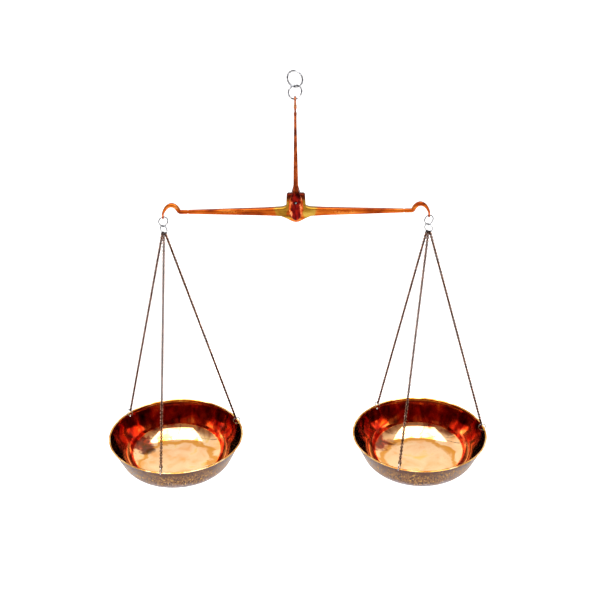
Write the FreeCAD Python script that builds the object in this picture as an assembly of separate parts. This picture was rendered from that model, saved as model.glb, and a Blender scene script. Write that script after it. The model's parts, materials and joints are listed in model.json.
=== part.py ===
import FreeCAD, Part
import math
import os

from FreeCAD import Vector

os.makedirs("parts", exist_ok=True)

# A hand-held brass beam balance, hung from its top ring and at rest.
# Millimetres. +X runs along the beam, +Y to the back, +Z up.
# The origin is the inside top of the top ring, where a hook or a finger carries the balance.

# ---- driving dimensions ---------------------------------------------------------------------

# suspension rings, bent from steel wire
TOP_RING_OUTSIDE = 13.4
TOP_RING_WIRE = 1.3
TOP_RING_TURN = -25.0        # degrees about Z, away from the plane of the beam
HANGER_RING_OUTSIDE = 11.6
HANGER_RING_WIRE = 1.2
HANGER_RING_TURN = 22.0
RING_GAP = 0.04              # between two wires that hang one in the other
BEND_GAP = 0.05              # more room for a wire that hangs in a tight bend

# shears: a stem with an eye, and two tines that end in cheeks either side of the beam
EYE_RADIUS = 1.85            # of the eye's wire centre
EYE_WIRE = 1.5
EYE_BITE = 0.375             # how far the stem's neck goes into the eye's wire
STEM_LENGTH = 17.0           # from the foot of the eye to the end of the tang
NECK_DIAMETER = 1.7
BEAD_DIAMETER = 2.3
WAIST_DIAMETER = 1.4
# (share of the way down from the eye to the tang, diameter)
STEM_TURNING = [(0.0, NECK_DIAMETER), (0.22, NECK_DIAMETER),
                (0.34, BEAD_DIAMETER), (0.48, BEAD_DIAMETER),
                (0.58, WAIST_DIAMETER), (0.74, WAIST_DIAMETER),
                (0.84, BEAD_DIAMETER), (1.0, BEAD_DIAMETER)]
TANG_LENGTH = 7.0
TANG_THICKNESS = 1.5
TANG_WIDTH = 1.9
TINE_TOP_THICKNESS = 0.9
TINE_FOOT_THICKNESS = 1.3
TINE_FOOT_WIDTH = 3.7
TINE_FLARE_WIDTH = 6.4
TINE_FLARE_START = 3.0       # above the cheek's top
TINE_FLARE_END = 2.3         # below the cheek's top
TINE_BEVEL_SHARE = 0.2       # of the thickness, off each long corner
TINE_LENGTH = 60.0           # from the tang's top down to the cheek's top
CHEEK_WIDTH = 10.9
CHEEK_HEIGHT = 22.8
CHEEK_THICKNESS = 2.4
CHEEK_CROWN_RADIUS = 10.0    # of the cheek's outer face, about the vertical
CHEEK_GAP = 0.3              # each side, between the beam's boss and a cheek
CHEEK_TOP_ABOVE_PIVOT = 9.2
RIVET_DIAMETER = 0.9
RIVET_HEAD_DIAMETER = 1.7
RIVET_HEAD_HEIGHT = 0.45

# knife edge: a steel wedge, edge down, that rocks in a round hole in each cheek
KNIFE_WIDTH = 1.7
KNIFE_HEIGHT = 1.7
KNIFE_HOLE_RADIUS = 1.35
KNIFE_GAP = 0.03             # under the edge
KNIFE_PROUD = 0.25           # past each cheek's outer face

# beam
HOOK_SPAN = 203.0            # hook eye to hook eye
PIVOT_ABOVE_HOOKS = 11.5
BOSS_WIDTH = 14.9
BOSS_SHOULDER_WIDTH = 14.1
BOSS_DEPTH = 5.0
BOSS_TOP_ABOVE_PIVOT = 7.5
BOSS_CORNER_RADIUS = 1.6
KEEL_BELOW_PIVOT = 16.6      # the point of the boss's underside
KEEL_HALF_WIDTH = 11.5
KEEL_TIP_RADIUS = 3.0
ARM_ABOVE_HOOKS = 3.9        # the arms' centre line
ARM_ROOT_HEIGHT = 7.6
ARM_ROOT_DEPTH = 4.9
ARM_KNEE_OUT = 22.0          # from the middle, where the root's flare ends
ARM_KNEE_HEIGHT = 6.0
ARM_KNEE_DEPTH = 4.4
ARM_END_HEIGHT = 2.9
ARM_END_DEPTH = 2.7
ARM_BEVEL = 0.5
COLLAR_LENGTH = 5.6
COLLAR_GROOVE = 0.35         # its depth all round
COLLAR_GROOVE_WIDTH = 0.7
COLLAR_FROM_EYE = 13.3       # the collar's outer end to the hook eye
NECK_RISE = 5.6              # the swan neck's highest centre point above the arms' centre line
NECK_APEX_SIZE = (3.3, 3.2)  # across the neck, and front to back
NECK_OUTER_SIZE = (2.5, 2.4)
NECK_TIP_SIZE = (1.5, 1.6)
NECK_BEVEL_SHARE = 0.25      # of the smaller size, off each long corner
NECK_START_HEADING = 8.5     # degrees, where the neck leaves the collar
# (share of the way out from the collar to the eye, share of the rise, heading in degrees, size)
NECK_COURSE = [(0.13, 0.42, 60.0, NECK_APEX_SIZE), (0.48, 1.0, 0.0, NECK_APEX_SIZE),
               (0.83, 0.5, -56.0, NECK_OUTER_SIZE)]
HOOK_EYE_RADIUS = 1.4        # of the eye's wire centre
HOOK_EYE_WIRE = 1.3

# pointer, on the boss, between the tines
POINTER_BASE_WIDTH = 3.2
POINTER_BASE_THICKNESS = 1.1
POINTER_TIP_WIDTH = 0.8
POINTER_TIP_THICKNESS = 0.5
POINTER_TIP_GAP = 4.0        # under the tang
POINTER_PEG_DIAMETER = 2.0
POINTER_PEG_DEPTH = 3.5

# hook links and gathering rings, bent from thinner steel wire
LINK_WIRE = 0.9
LINK_TOP_RADIUS = 3.6        # of the wire's centre
LINK_HEIGHT = 8.1            # of the wire's centre line
LINK_TIP_RADIUS = 1.35
LINK_TURN = 22.0
GATHER_RING_RADIUS = 3.4     # of the wire's centre
GATHER_RING_WIRE = 0.9
GATHER_RING_TURN = -38.0

# pans and what holds them
PAN_RIM_RADIUS = 55.8
PAN_DEPTH = 28.5
PAN_SIDE_ANGLE = 65.0        # of the side, from the horizontal
PAN_CORNER_RADIUS = 18.0     # of the outside, between the side and the floor
PAN_WALL = 1.0
PAN_LIP_THICKNESS = 1.4
PAN_LIP_HEIGHT = 1.1
PAN_BELOW_HOOKS = 198.0      # the rim's top
PAN_HOLE_DIAMETER = 1.9
PAN_HOLE_BELOW_RIM = 2.6
LEFT_PAN_TURN = 21.7         # where the first chain stands, in degrees from +X
RIGHT_PAN_TURN = 7.7
PAN_RING_RADIUS = 2.85       # of the wire's centre
PAN_RING_WIRE = 0.8
PAN_RING_LIFT = 0.6          # how far up the slack of its hole the wire sits, as a share

# chains
CHAIN_WIDTH = 2.0            # outside, of the links
CHAIN_LOOP_RADIUS = 1.15     # of the wire's centre, in the loop at each end
CHAIN_LOOP_WIRE = 0.7
CHAIN_SPREAD = 27.0          # degrees along the gathering ring, from loop to loop

UP = Vector(0, 0, 1)
BACK = Vector(0, 1, 0)
RIGHT = Vector(1, 0, 0)

# ---- levels that follow from them -----------------------------------------------------------


def wire_radius(outside, wire):
    """Radius of a round ring's wire centre, from its outside diameter."""
    return (outside - wire) / 2


def hang(upper_wire, lower_wire):
    """Height of a hanging wire's centre over the centre of the wire that it hangs in."""
    return upper_wire / 2 + lower_wire / 2 + RING_GAP


TOP_RING_RADIUS = wire_radius(TOP_RING_OUTSIDE, TOP_RING_WIRE)
HANGER_RING_RADIUS = wire_radius(HANGER_RING_OUTSIDE, HANGER_RING_WIRE)

TOP_RING_Z = TOP_RING_WIRE / 2 - TOP_RING_RADIUS
TOP_RING_FOOT_Z = TOP_RING_Z - TOP_RING_RADIUS
HANGER_RING_Z = TOP_RING_FOOT_Z + hang(TOP_RING_WIRE, HANGER_RING_WIRE) - HANGER_RING_RADIUS
HANGER_RING_FOOT_Z = HANGER_RING_Z - HANGER_RING_RADIUS
EYE_TOP_Z = HANGER_RING_FOOT_Z + hang(HANGER_RING_WIRE, EYE_WIRE)
EYE_Z = EYE_TOP_Z - EYE_RADIUS
EYE_FOOT_Z = EYE_Z - EYE_RADIUS
TANG_END_Z = EYE_FOOT_Z - STEM_LENGTH
TANG_TOP_Z = TANG_END_Z + TANG_LENGTH
RIVET_Z = TANG_TOP_Z - TANG_LENGTH / 2
CHEEK_TOP_Z = TANG_TOP_Z - TINE_LENGTH
PIVOT_Z = CHEEK_TOP_Z - CHEEK_TOP_ABOVE_PIVOT
HOOK_Z = PIVOT_Z - PIVOT_ABOVE_HOOKS
ARM_Z = HOOK_Z + ARM_ABOVE_HOOKS
BOSS_TOP_Z = PIVOT_Z + BOSS_TOP_ABOVE_PIVOT
KEEL_Z = PIVOT_Z - KEEL_BELOW_PIVOT
CHEEK_INSIDE_Y = BOSS_DEPTH / 2 + CHEEK_GAP
HOOK_EYE_FOOT_Z = HOOK_Z - HOOK_EYE_RADIUS
LINK_TOP_Z = HOOK_EYE_FOOT_Z + hang(HOOK_EYE_WIRE, LINK_WIRE)
LINK_FOOT_Z = LINK_TOP_Z - LINK_HEIGHT
GATHER_RING_Z = LINK_FOOT_Z + hang(LINK_WIRE, GATHER_RING_WIRE) + BEND_GAP - GATHER_RING_RADIUS
PAN_RIM_Z = HOOK_Z - PAN_BELOW_HOOKS

# ---- shared shapes --------------------------------------------------------------------------


def turned(degrees):
    """The horizontal direction at an angle from +X, counter-clockwise from above."""
    a = math.radians(degrees)
    return Vector(math.cos(a), math.sin(a), 0)


def ring(centre, normal, radius, wire):
    """A round ring of round wire."""
    return Part.makeTorus(radius, wire / 2, centre, normal)


def lathe(outline):
    """A solid of revolution about Z inside a closed half section, given as a wire."""
    return Part.Face(outline).revolve(Vector(0, 0, 0), UP, 360)


def bevelled_section(centre, across, depth_way, height, depth, bevel):
    """A closed eight-sided wire: height lies along across, depth along depth_way."""
    h = height / 2
    d = depth / 2
    corners = [(h, d - bevel), (h - bevel, d), (bevel - h, d), (-h, d - bevel),
               (-h, bevel - d), (bevel - h, -d), (h - bevel, -d), (h, bevel - d)]
    points = [centre + across * a + depth_way * b for a, b in corners]
    return Part.makePolygon(points + points[:1])


def write(shape, name):
    """Save one named piece."""
    shape.exportStep("parts/%s.step" % name)
    print("%-22s solids %d valid %s volume %.2f"
          % (name, len(shape.Solids), shape.isValid(), shape.Volume))


# ---- suspension -----------------------------------------------------------------------------


def top_ring():
    """The ring that the whole balance hangs by."""
    normal = turned(TOP_RING_TURN + 90)
    return ring(Vector(0, 0, TOP_RING_Z), normal, TOP_RING_RADIUS, TOP_RING_WIRE)


def hanger_ring():
    """The ring between the top ring and the shears."""
    normal = turned(HANGER_RING_TURN + 90)
    return ring(Vector(0, 0, HANGER_RING_Z), normal, HANGER_RING_RADIUS, HANGER_RING_WIRE)


# ---- shears ---------------------------------------------------------------------------------


def shears_stem():
    """Eye, neck, bead, waist and collar in one turned piece, with a flat tang below."""
    eye = ring(Vector(0, 0, EYE_Z), RIGHT, EYE_RADIUS, EYE_WIRE)
    top = EYE_FOOT_Z + EYE_BITE
    turned_length = top - TANG_TOP_Z
    outline = [Vector(0, 0, top)]
    for share, diameter in STEM_TURNING:
        outline.append(Vector(diameter / 2, 0, top - share * turned_length))
    outline.append(Vector(0, 0, TANG_TOP_Z))
    stem = lathe(Part.makePolygon(outline + outline[:1]))
    tang = Part.makeBox(TANG_WIDTH, TANG_THICKNESS, TANG_LENGTH,
                        Vector(-TANG_WIDTH / 2, -TANG_THICKNESS / 2, TANG_END_Z))
    hole = Part.makeCylinder(RIVET_DIAMETER / 2, TANG_THICKNESS,
                             Vector(0, -TANG_THICKNESS / 2, RIVET_Z), BACK)
    return eye.fuse([stem, tang]).removeSplitter().cut(hole)


def tine(side):
    """One tine of the shears with its cheek: side is -1 at the front and 1 at the back."""
    outward = BACK * side

    def section(z, inside, thickness, width):
        middle = outward * (inside + thickness / 2) + UP * z
        return bevelled_section(middle, RIGHT, outward, width, thickness, thickness * TINE_BEVEL_SHARE)

    def strip_section(z):
        return section(z, TANG_THICKNESS / 2, TINE_TOP_THICKNESS, TANG_WIDTH)

    def foot_section(z, width):
        return section(z, CHEEK_INSIDE_Y, TINE_FOOT_THICKNESS, width)

    # a strip against the tang, a blade that stands off and widens, and a flare into the cheek
    foot = foot_section(CHEEK_TOP_Z + TINE_FLARE_START, TINE_FOOT_WIDTH)
    flare_end = foot_section(CHEEK_TOP_Z - TINE_FLARE_END, TINE_FLARE_WIDTH)
    strip = Part.makeLoft([strip_section(TANG_TOP_Z), strip_section(TANG_END_Z)], True, True)
    blade = Part.makeLoft([strip_section(TANG_END_Z), foot], True, True)
    flare = Part.makeLoft([foot, flare_end], True, True)

    # an oval plate, crowned on the outside
    cheek_z = CHEEK_TOP_Z - CHEEK_HEIGHT / 2
    inner = outward * CHEEK_INSIDE_Y + UP * cheek_z
    oval = Part.Ellipse(inner + UP * (CHEEK_HEIGHT / 2), inner + RIGHT * (CHEEK_WIDTH / 2), inner)
    plate = Part.Face(Part.Wire(oval.toShape())).extrude(outward * CHEEK_THICKNESS)
    crown_axis = outward * (CHEEK_INSIDE_Y + CHEEK_THICKNESS - CHEEK_CROWN_RADIUS)
    crown = Part.makeCylinder(CHEEK_CROWN_RADIUS, CHEEK_HEIGHT * 2,
                              crown_axis + UP * (cheek_z - CHEEK_HEIGHT), UP)
    cheek = plate.common(crown)

    def hole(radius, inside, thickness, z):
        return Part.makeCylinder(radius, thickness * 2, outward * (inside - thickness / 2) + UP * z, outward)

    body = strip.fuse([blade, flare, cheek]).removeSplitter()
    knife_hole = hole(KNIFE_HOLE_RADIUS, CHEEK_INSIDE_Y, CHEEK_THICKNESS,
                      PIVOT_Z - KNIFE_GAP + KNIFE_HOLE_RADIUS)
    rivet_hole = hole(RIVET_DIAMETER / 2, TANG_THICKNESS / 2, TINE_TOP_THICKNESS, RIVET_Z)
    return body.cut([knife_hole, rivet_hole])


def tine_rivet():
    """The rivet through both tines and the tang, with a low dome at each end."""
    reach = TANG_THICKNESS / 2 + TINE_TOP_THICKNESS
    shank = Part.makeCylinder(RIVET_DIAMETER / 2, 2 * reach, Vector(0, -reach, RIVET_Z), BACK)
    head_radius = RIVET_HEAD_DIAMETER / 2
    ball_radius = (head_radius ** 2 + RIVET_HEAD_HEIGHT ** 2) / (2 * RIVET_HEAD_HEIGHT)
    heads = []
    for side in (-1, 1):
        ball_y = side * (reach + RIVET_HEAD_HEIGHT - ball_radius)
        ball = Part.makeSphere(ball_radius, Vector(0, ball_y, RIVET_Z))
        # everything of the ball that stands out of the tine
        blank = Part.makeCylinder(RIVET_HEAD_DIAMETER, RIVET_HEAD_DIAMETER,
                                  Vector(0, side * reach, RIVET_Z), BACK * side)
        heads.append(ball.common(blank))
    return shank.fuse(heads)


# ---- beam -----------------------------------------------------------------------------------


def knife_edge():
    """The steel wedge across the boss. Its lower edge is the balance's pivot."""
    reach = CHEEK_INSIDE_Y + CHEEK_THICKNESS + KNIFE_PROUD
    corners = [Vector(0, -reach, PIVOT_Z),
               Vector(KNIFE_WIDTH / 2, -reach, PIVOT_Z + KNIFE_HEIGHT),
               Vector(-KNIFE_WIDTH / 2, -reach, PIVOT_Z + KNIFE_HEIGHT)]
    return Part.Face(Part.makePolygon(corners + corners[:1])).extrude(BACK * (2 * reach))


def boss():
    """The beam's middle: an upright block with rounded shoulders and a shallow keel."""
    front = -BOSS_DEPTH / 2
    waist_z = ARM_Z + ARM_ROOT_HEIGHT / 2
    keel_side_z = ARM_Z - ARM_KNEE_HEIGHT / 2

    def at(x, z):
        return Vector(x, front, z)

    shoulder = BOSS_SHOULDER_WIDTH / 2
    foot = BOSS_WIDTH / 2
    r = BOSS_CORNER_RADIUS
    corner = r * (1 - math.sqrt(0.5))
    tip = KEEL_TIP_RADIUS
    slope = math.atan2(keel_side_z - KEEL_Z, KEEL_HALF_WIDTH)
    tip_out = tip * math.sin(slope)
    tip_z = KEEL_Z + tip_out * math.tan(slope)
    edges = []
    for side in (1, -1):
        edges.append(Part.Arc(at(side * (shoulder - r), BOSS_TOP_Z),
                              at(side * (shoulder - corner), BOSS_TOP_Z - corner),
                              at(side * shoulder, BOSS_TOP_Z - r)).toShape())
        edges.append(Part.makeLine(at(side * shoulder, BOSS_TOP_Z - r), at(side * foot, waist_z)))
        edges.append(Part.makeLine(at(side * foot, waist_z), at(side * KEEL_HALF_WIDTH, ARM_Z)))
        edges.append(Part.makeLine(at(side * KEEL_HALF_WIDTH, ARM_Z),
                                   at(side * KEEL_HALF_WIDTH, keel_side_z)))
        edges.append(Part.makeLine(at(side * KEEL_HALF_WIDTH, keel_side_z), at(side * tip_out, tip_z)))
    edges.append(Part.makeLine(at(shoulder - r, BOSS_TOP_Z), at(r - shoulder, BOSS_TOP_Z)))
    tip_low = tip_z - tip_out * math.tan(slope / 2)
    edges.append(Part.Arc(at(tip_out, tip_z), at(0, tip_low), at(-tip_out, tip_z)).toShape())
    outline = Part.Wire(Part.__sortEdges__(edges))
    return Part.Face(outline).extrude(BACK * BOSS_DEPTH)


def arm(side):
    """One arm from the boss to its swan neck and hook eye: side is -1 at the left, 1 at the right."""
    out = RIGHT * side
    eye_x = HOOK_SPAN / 2
    collar_out = eye_x - COLLAR_FROM_EYE
    collar_in = collar_out - COLLAR_LENGTH
    groove_in = collar_in - COLLAR_GROOVE_WIDTH
    groove_height = ARM_END_HEIGHT - COLLAR_GROOVE * 2
    groove_depth = ARM_END_DEPTH - COLLAR_GROOVE * 2

    def upright(x, height, depth):
        return bevelled_section(out * x + UP * ARM_Z, UP, BACK, height, depth, ARM_BEVEL)

    # the limb starts inside the boss
    limb = Part.makeLoft([upright(BOSS_WIDTH / 4, ARM_ROOT_HEIGHT, ARM_ROOT_DEPTH),
                          upright(BOSS_WIDTH / 2, ARM_ROOT_HEIGHT, ARM_ROOT_DEPTH),
                          upright(ARM_KNEE_OUT, ARM_KNEE_HEIGHT, ARM_KNEE_DEPTH),
                          upright(groove_in, ARM_END_HEIGHT, ARM_END_DEPTH)], True, True)
    groove = Part.makeLoft([upright(groove_in, groove_height, groove_depth),
                            upright(collar_in, groove_height, groove_depth)], True, True)
    collar = Part.makeLoft([upright(collar_in, ARM_END_HEIGHT, ARM_END_DEPTH),
                            upright(collar_out, ARM_END_HEIGHT, ARM_END_DEPTH)], True, True)

    def neck_section(outward, over_hooks, heading, size):
        """A bevelled section square to the neck's heading, outward from the collar's end."""
        a = math.radians(heading)
        along = out * math.cos(a) + UP * math.sin(a)
        centre = out * (collar_out + outward) + UP * (HOOK_Z + over_hooks)
        bevel = min(size) * NECK_BEVEL_SHARE
        return bevelled_section(centre, BACK.cross(along), BACK, size[0], size[1], bevel)

    # the neck leaves the collar, climbs over and comes down on the eye
    collar_size = (ARM_END_HEIGHT, ARM_END_DEPTH)
    sections = [neck_section(0.0, ARM_ABOVE_HOOKS, NECK_START_HEADING, collar_size)]
    for share, rise, heading, size in NECK_COURSE:
        over_hooks = ARM_ABOVE_HOOKS + NECK_RISE * rise
        sections.append(neck_section(COLLAR_FROM_EYE * share, over_hooks, heading, size))
    sections.append(neck_section(COLLAR_FROM_EYE, HOOK_EYE_RADIUS, -90.0, NECK_TIP_SIZE))
    neck = Part.makeLoft(sections, True, False)
    eye_centre = out * eye_x + UP * HOOK_Z
    eye = ring(eye_centre, RIGHT, HOOK_EYE_RADIUS, HOOK_EYE_WIRE)
    eye_hole = Part.makeCylinder(HOOK_EYE_RADIUS - HOOK_EYE_WIRE / 2, HOOK_EYE_WIRE * 4,
                                 eye_centre - RIGHT * (HOOK_EYE_WIRE * 2), RIGHT)
    return limb.fuse([groove, collar, neck.cut(eye_hole), eye])


def beam():
    """The forged beam, with the seat for the knife edge and the hole for the pointer's peg."""
    peg_hole = Part.makeCylinder(POINTER_PEG_DIAMETER / 2, POINTER_PEG_DEPTH,
                                 Vector(0, 0, BOSS_TOP_Z - POINTER_PEG_DEPTH), UP)
    return boss().fuse([arm(-1), arm(1)]).removeSplitter().cut([knife_edge(), peg_hole])


def pointer():
    """The thin tapered tongue on top of the boss, with a peg that sits in the boss."""
    peg = Part.makeCylinder(POINTER_PEG_DIAMETER / 2, POINTER_PEG_DEPTH,
                            Vector(0, 0, BOSS_TOP_Z - POINTER_PEG_DEPTH), UP)
    tip_z = TANG_END_Z - POINTER_TIP_GAP

    def section(z, width, thickness):
        return bevelled_section(Vector(0, 0, z), RIGHT, BACK, width, thickness, thickness * TINE_BEVEL_SHARE)

    blade = Part.makeLoft([section(BOSS_TOP_Z, POINTER_BASE_WIDTH, POINTER_BASE_THICKNESS),
                           section(tip_z, POINTER_TIP_WIDTH, POINTER_TIP_THICKNESS)], True, True)
    return blade.fuse(peg)


# ---- links and gathering rings --------------------------------------------------------------


def hook_link(side):
    """The pear-shaped wire link in the hook eye, round at the top and narrow at the foot."""
    way = turned(LINK_TURN)
    eye = RIGHT * (side * HOOK_SPAN / 2)
    top_centre_z = LINK_TOP_Z - LINK_TOP_RADIUS
    foot_centre_z = LINK_FOOT_Z + LINK_TIP_RADIUS

    def at(x, z):
        return eye + way * x + UP * z

    # the straight sides touch both arcs, so they lean by this angle
    lean = math.asin((LINK_TOP_RADIUS - LINK_TIP_RADIUS) / (top_centre_z - foot_centre_z))
    top_x = LINK_TOP_RADIUS * math.cos(lean)
    top_z = top_centre_z - LINK_TOP_RADIUS * math.sin(lean)
    foot_x = LINK_TIP_RADIUS * math.cos(lean)
    foot_z = foot_centre_z - LINK_TIP_RADIUS * math.sin(lean)
    path = Part.Wire([
        Part.Arc(at(-top_x, top_z), at(0, LINK_TOP_Z), at(top_x, top_z)).toShape(),
        Part.makeLine(at(top_x, top_z), at(foot_x, foot_z)),
        Part.Arc(at(foot_x, foot_z), at(0, LINK_FOOT_Z), at(-foot_x, foot_z)).toShape(),
        Part.makeLine(at(-foot_x, foot_z), at(-top_x, top_z)),
    ])
    start = at(-top_x, top_z)
    tangent = at(-foot_x, foot_z) - start
    section = Part.Wire(Part.Circle(start, tangent, LINK_WIRE / 2).toShape())
    return path.makePipeShell([section], True, True)


def gather_ring(side):
    """The ring that the three chains of one pan hang from."""
    centre = Vector(side * HOOK_SPAN / 2, 0, GATHER_RING_Z)
    return ring(centre, turned(GATHER_RING_TURN + 90), GATHER_RING_RADIUS, GATHER_RING_WIRE)


# ---- pans, their rings and chains -----------------------------------------------------------


def pan_outline():
    """The pan's half section as a closed wire: floor, round corner, straight side and lip."""
    a = math.radians(PAN_SIDE_ANGLE)
    rim = PAN_RIM_RADIUS

    def skin(corner_radius, depth, reach):
        """Floor radius, corner start, corner middle and corner end of one face of the wall."""
        side_height = depth - corner_radius * (1 - math.cos(a))
        floor_radius = reach - side_height / math.tan(a) - corner_radius * math.sin(a)
        half = a / 2
        middle = (floor_radius + corner_radius * math.sin(half),
                  corner_radius * (1 - math.cos(half)) - depth)
        end = (floor_radius + corner_radius * math.sin(a), corner_radius * (1 - math.cos(a)) - depth)
        return (floor_radius, -depth), middle, end

    wall_across = PAN_WALL / math.sin(a)
    lip_across = PAN_LIP_THICKNESS / math.sin(a)
    side_reach = rim - (lip_across - wall_across)
    outer = skin(PAN_CORNER_RADIUS, PAN_DEPTH, side_reach)
    inner = skin(PAN_CORNER_RADIUS - PAN_WALL, PAN_DEPTH - PAN_WALL, side_reach - wall_across)
    lip_drop = PAN_LIP_HEIGHT / math.tan(a)

    def at(point):
        return Vector(point[0], 0, point[1])

    lip_foot_out = (rim - lip_drop, -PAN_LIP_HEIGHT)
    lip_foot_in = (side_reach - lip_drop, -PAN_LIP_HEIGHT)
    edges = [
        Part.makeLine(at((0, -PAN_DEPTH)), at(outer[0])),
        Part.Arc(at(outer[0]), at(outer[1]), at(outer[2])).toShape(),
        Part.makeLine(at(outer[2]), at(lip_foot_in)),
        Part.makeLine(at(lip_foot_in), at(lip_foot_out)),
        Part.makeLine(at(lip_foot_out), at((rim, 0))),
        Part.makeLine(at((rim, 0)), at((side_reach - wall_across, 0))),
        Part.makeLine(at((side_reach - wall_across, 0)), at(inner[2])),
        Part.Arc(at(inner[2]), at(inner[1]), at(inner[0])).toShape(),
        Part.makeLine(at(inner[0]), at((0, PAN_WALL - PAN_DEPTH))),
        Part.makeLine(at((0, PAN_WALL - PAN_DEPTH)), at((0, -PAN_DEPTH))),
    ]
    return Part.Wire(edges)


def pan_centre(side):
    """The middle of a pan's rim."""
    return Vector(side * HOOK_SPAN / 2, 0, PAN_RIM_Z)


def pan_hole(side, angle):
    """The middle of a ring's hole, halfway through the pan's wall."""
    a = math.radians(PAN_SIDE_ANGLE)
    lip_step = (PAN_LIP_THICKNESS - PAN_WALL) / math.sin(a)
    half_wall = PAN_WALL / 2 / math.sin(a)
    reach = PAN_RIM_RADIUS - lip_step - half_wall - PAN_HOLE_BELOW_RIM / math.tan(a)
    return pan_centre(side) + turned(angle) * reach - UP * PAN_HOLE_BELOW_RIM


def pan(side, angles):
    """One spun pan with a hole for each ring."""
    bowl = lathe(pan_outline())
    bowl.translate(pan_centre(side))
    # each drill goes well past the wall on either side
    reach = PAN_HOLE_DIAMETER * 2
    drills = []
    for angle in angles:
        way = turned(angle)
        start = pan_hole(side, angle) - way * reach
        drills.append(Part.makeCylinder(PAN_HOLE_DIAMETER / 2, reach * 2, start, way))
    return bowl.cut(drills)


class ChainRun:
    """Where one chain, its loops and its pan ring lie."""

    def __init__(self, side, angle, place):
        # the seat on the gathering ring, and the ring's own direction there
        centre = Vector(side * HOOK_SPAN / 2, 0, GATHER_RING_Z)
        along = turned(GATHER_RING_TURN)
        a = math.radians(place * CHAIN_SPREAD)
        seat = centre + (along * math.sin(a) - UP * math.cos(a)) * GATHER_RING_RADIUS
        seat_way = along * math.cos(a) + UP * math.sin(a)

        hole = pan_hole(side, angle)
        self.up = seat - hole
        self.up.normalize()
        self.top_normal = seat_way - self.up * seat_way.dot(self.up)
        top_hang = hang(GATHER_RING_WIRE, CHAIN_LOOP_WIRE) + BEND_GAP
        self.top_loop = seat + self.up * (top_hang - CHAIN_LOOP_RADIUS)

        # the pan ring stands upright in its hole, and the chain pulls at its inner side
        self.ring_normal = UP.cross(turned(angle))
        lift = (PAN_HOLE_DIAMETER - PAN_RING_WIRE) / 2 * PAN_RING_LIFT
        self.ring_centre = hole + UP * (PAN_RING_RADIUS + lift)
        pull = self.up - self.ring_normal * self.up.dot(self.ring_normal)
        pull.normalize()
        self.low_normal = self.ring_normal.cross(self.up)
        low_hang = hang(PAN_RING_WIRE, CHAIN_LOOP_WIRE) + BEND_GAP
        pulled = self.ring_centre + pull * PAN_RING_RADIUS
        self.low_loop = pulled + self.up * (CHAIN_LOOP_RADIUS - low_hang)

    def pan_ring(self):
        """The wire ring in the pan's hole."""
        return ring(self.ring_centre, self.ring_normal, PAN_RING_RADIUS, PAN_RING_WIRE)

    def chain(self):
        """A strand as wide as the chain's links, with a round loop at each end."""
        start = self.top_loop - self.up * CHAIN_LOOP_RADIUS
        end = self.low_loop + self.up * CHAIN_LOOP_RADIUS
        strand = Part.makeCylinder(CHAIN_WIDTH / 2, start.distanceToPoint(end), end, self.up)
        loops = [ring(self.top_loop, self.top_normal, CHAIN_LOOP_RADIUS, CHAIN_LOOP_WIRE),
                 ring(self.low_loop, self.low_normal, CHAIN_LOOP_RADIUS, CHAIN_LOOP_WIRE)]
        return strand.fuse(loops)


# each chain of a pan: its name, its angle past the pan's first chain, and its place on the ring
CHAIN_PLACES = [("right", 0, 1), ("rear", 120, -1), ("front", 240, 0)]

# ---- the pieces -----------------------------------------------------------------------------

write(top_ring(), "top_ring")
write(hanger_ring(), "hanger_ring")
write(shears_stem(), "shears_stem")
write(tine(-1), "front_tine")
write(tine(1), "rear_tine")
write(tine_rivet(), "tine_rivet")
write(beam(), "beam")
write(knife_edge(), "knife_edge")
write(pointer(), "pointer")

for name, side, turn in (("left", -1, LEFT_PAN_TURN), ("right", 1, RIGHT_PAN_TURN)):
    write(hook_link(side), name + "_hook_link")
    write(gather_ring(side), name + "_gather_ring")
    write(pan(side, [turn + step for _, step, _ in CHAIN_PLACES]), name + "_pan")
    for place_name, step, place in CHAIN_PLACES:
        run = ChainRun(side, turn + step, place)
        write(run.chain(), "%s_chain_%s" % (name, place_name))
        write(run.pan_ring(), "%s_pan_ring_%s" % (name, place_name))
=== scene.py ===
import json
import logging
import math
from dataclasses import dataclass
from enum import Enum
from typing import Iterable, Optional, Sequence, Union

import bmesh
import bpy
from mathutils import Matrix, Vector


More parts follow.
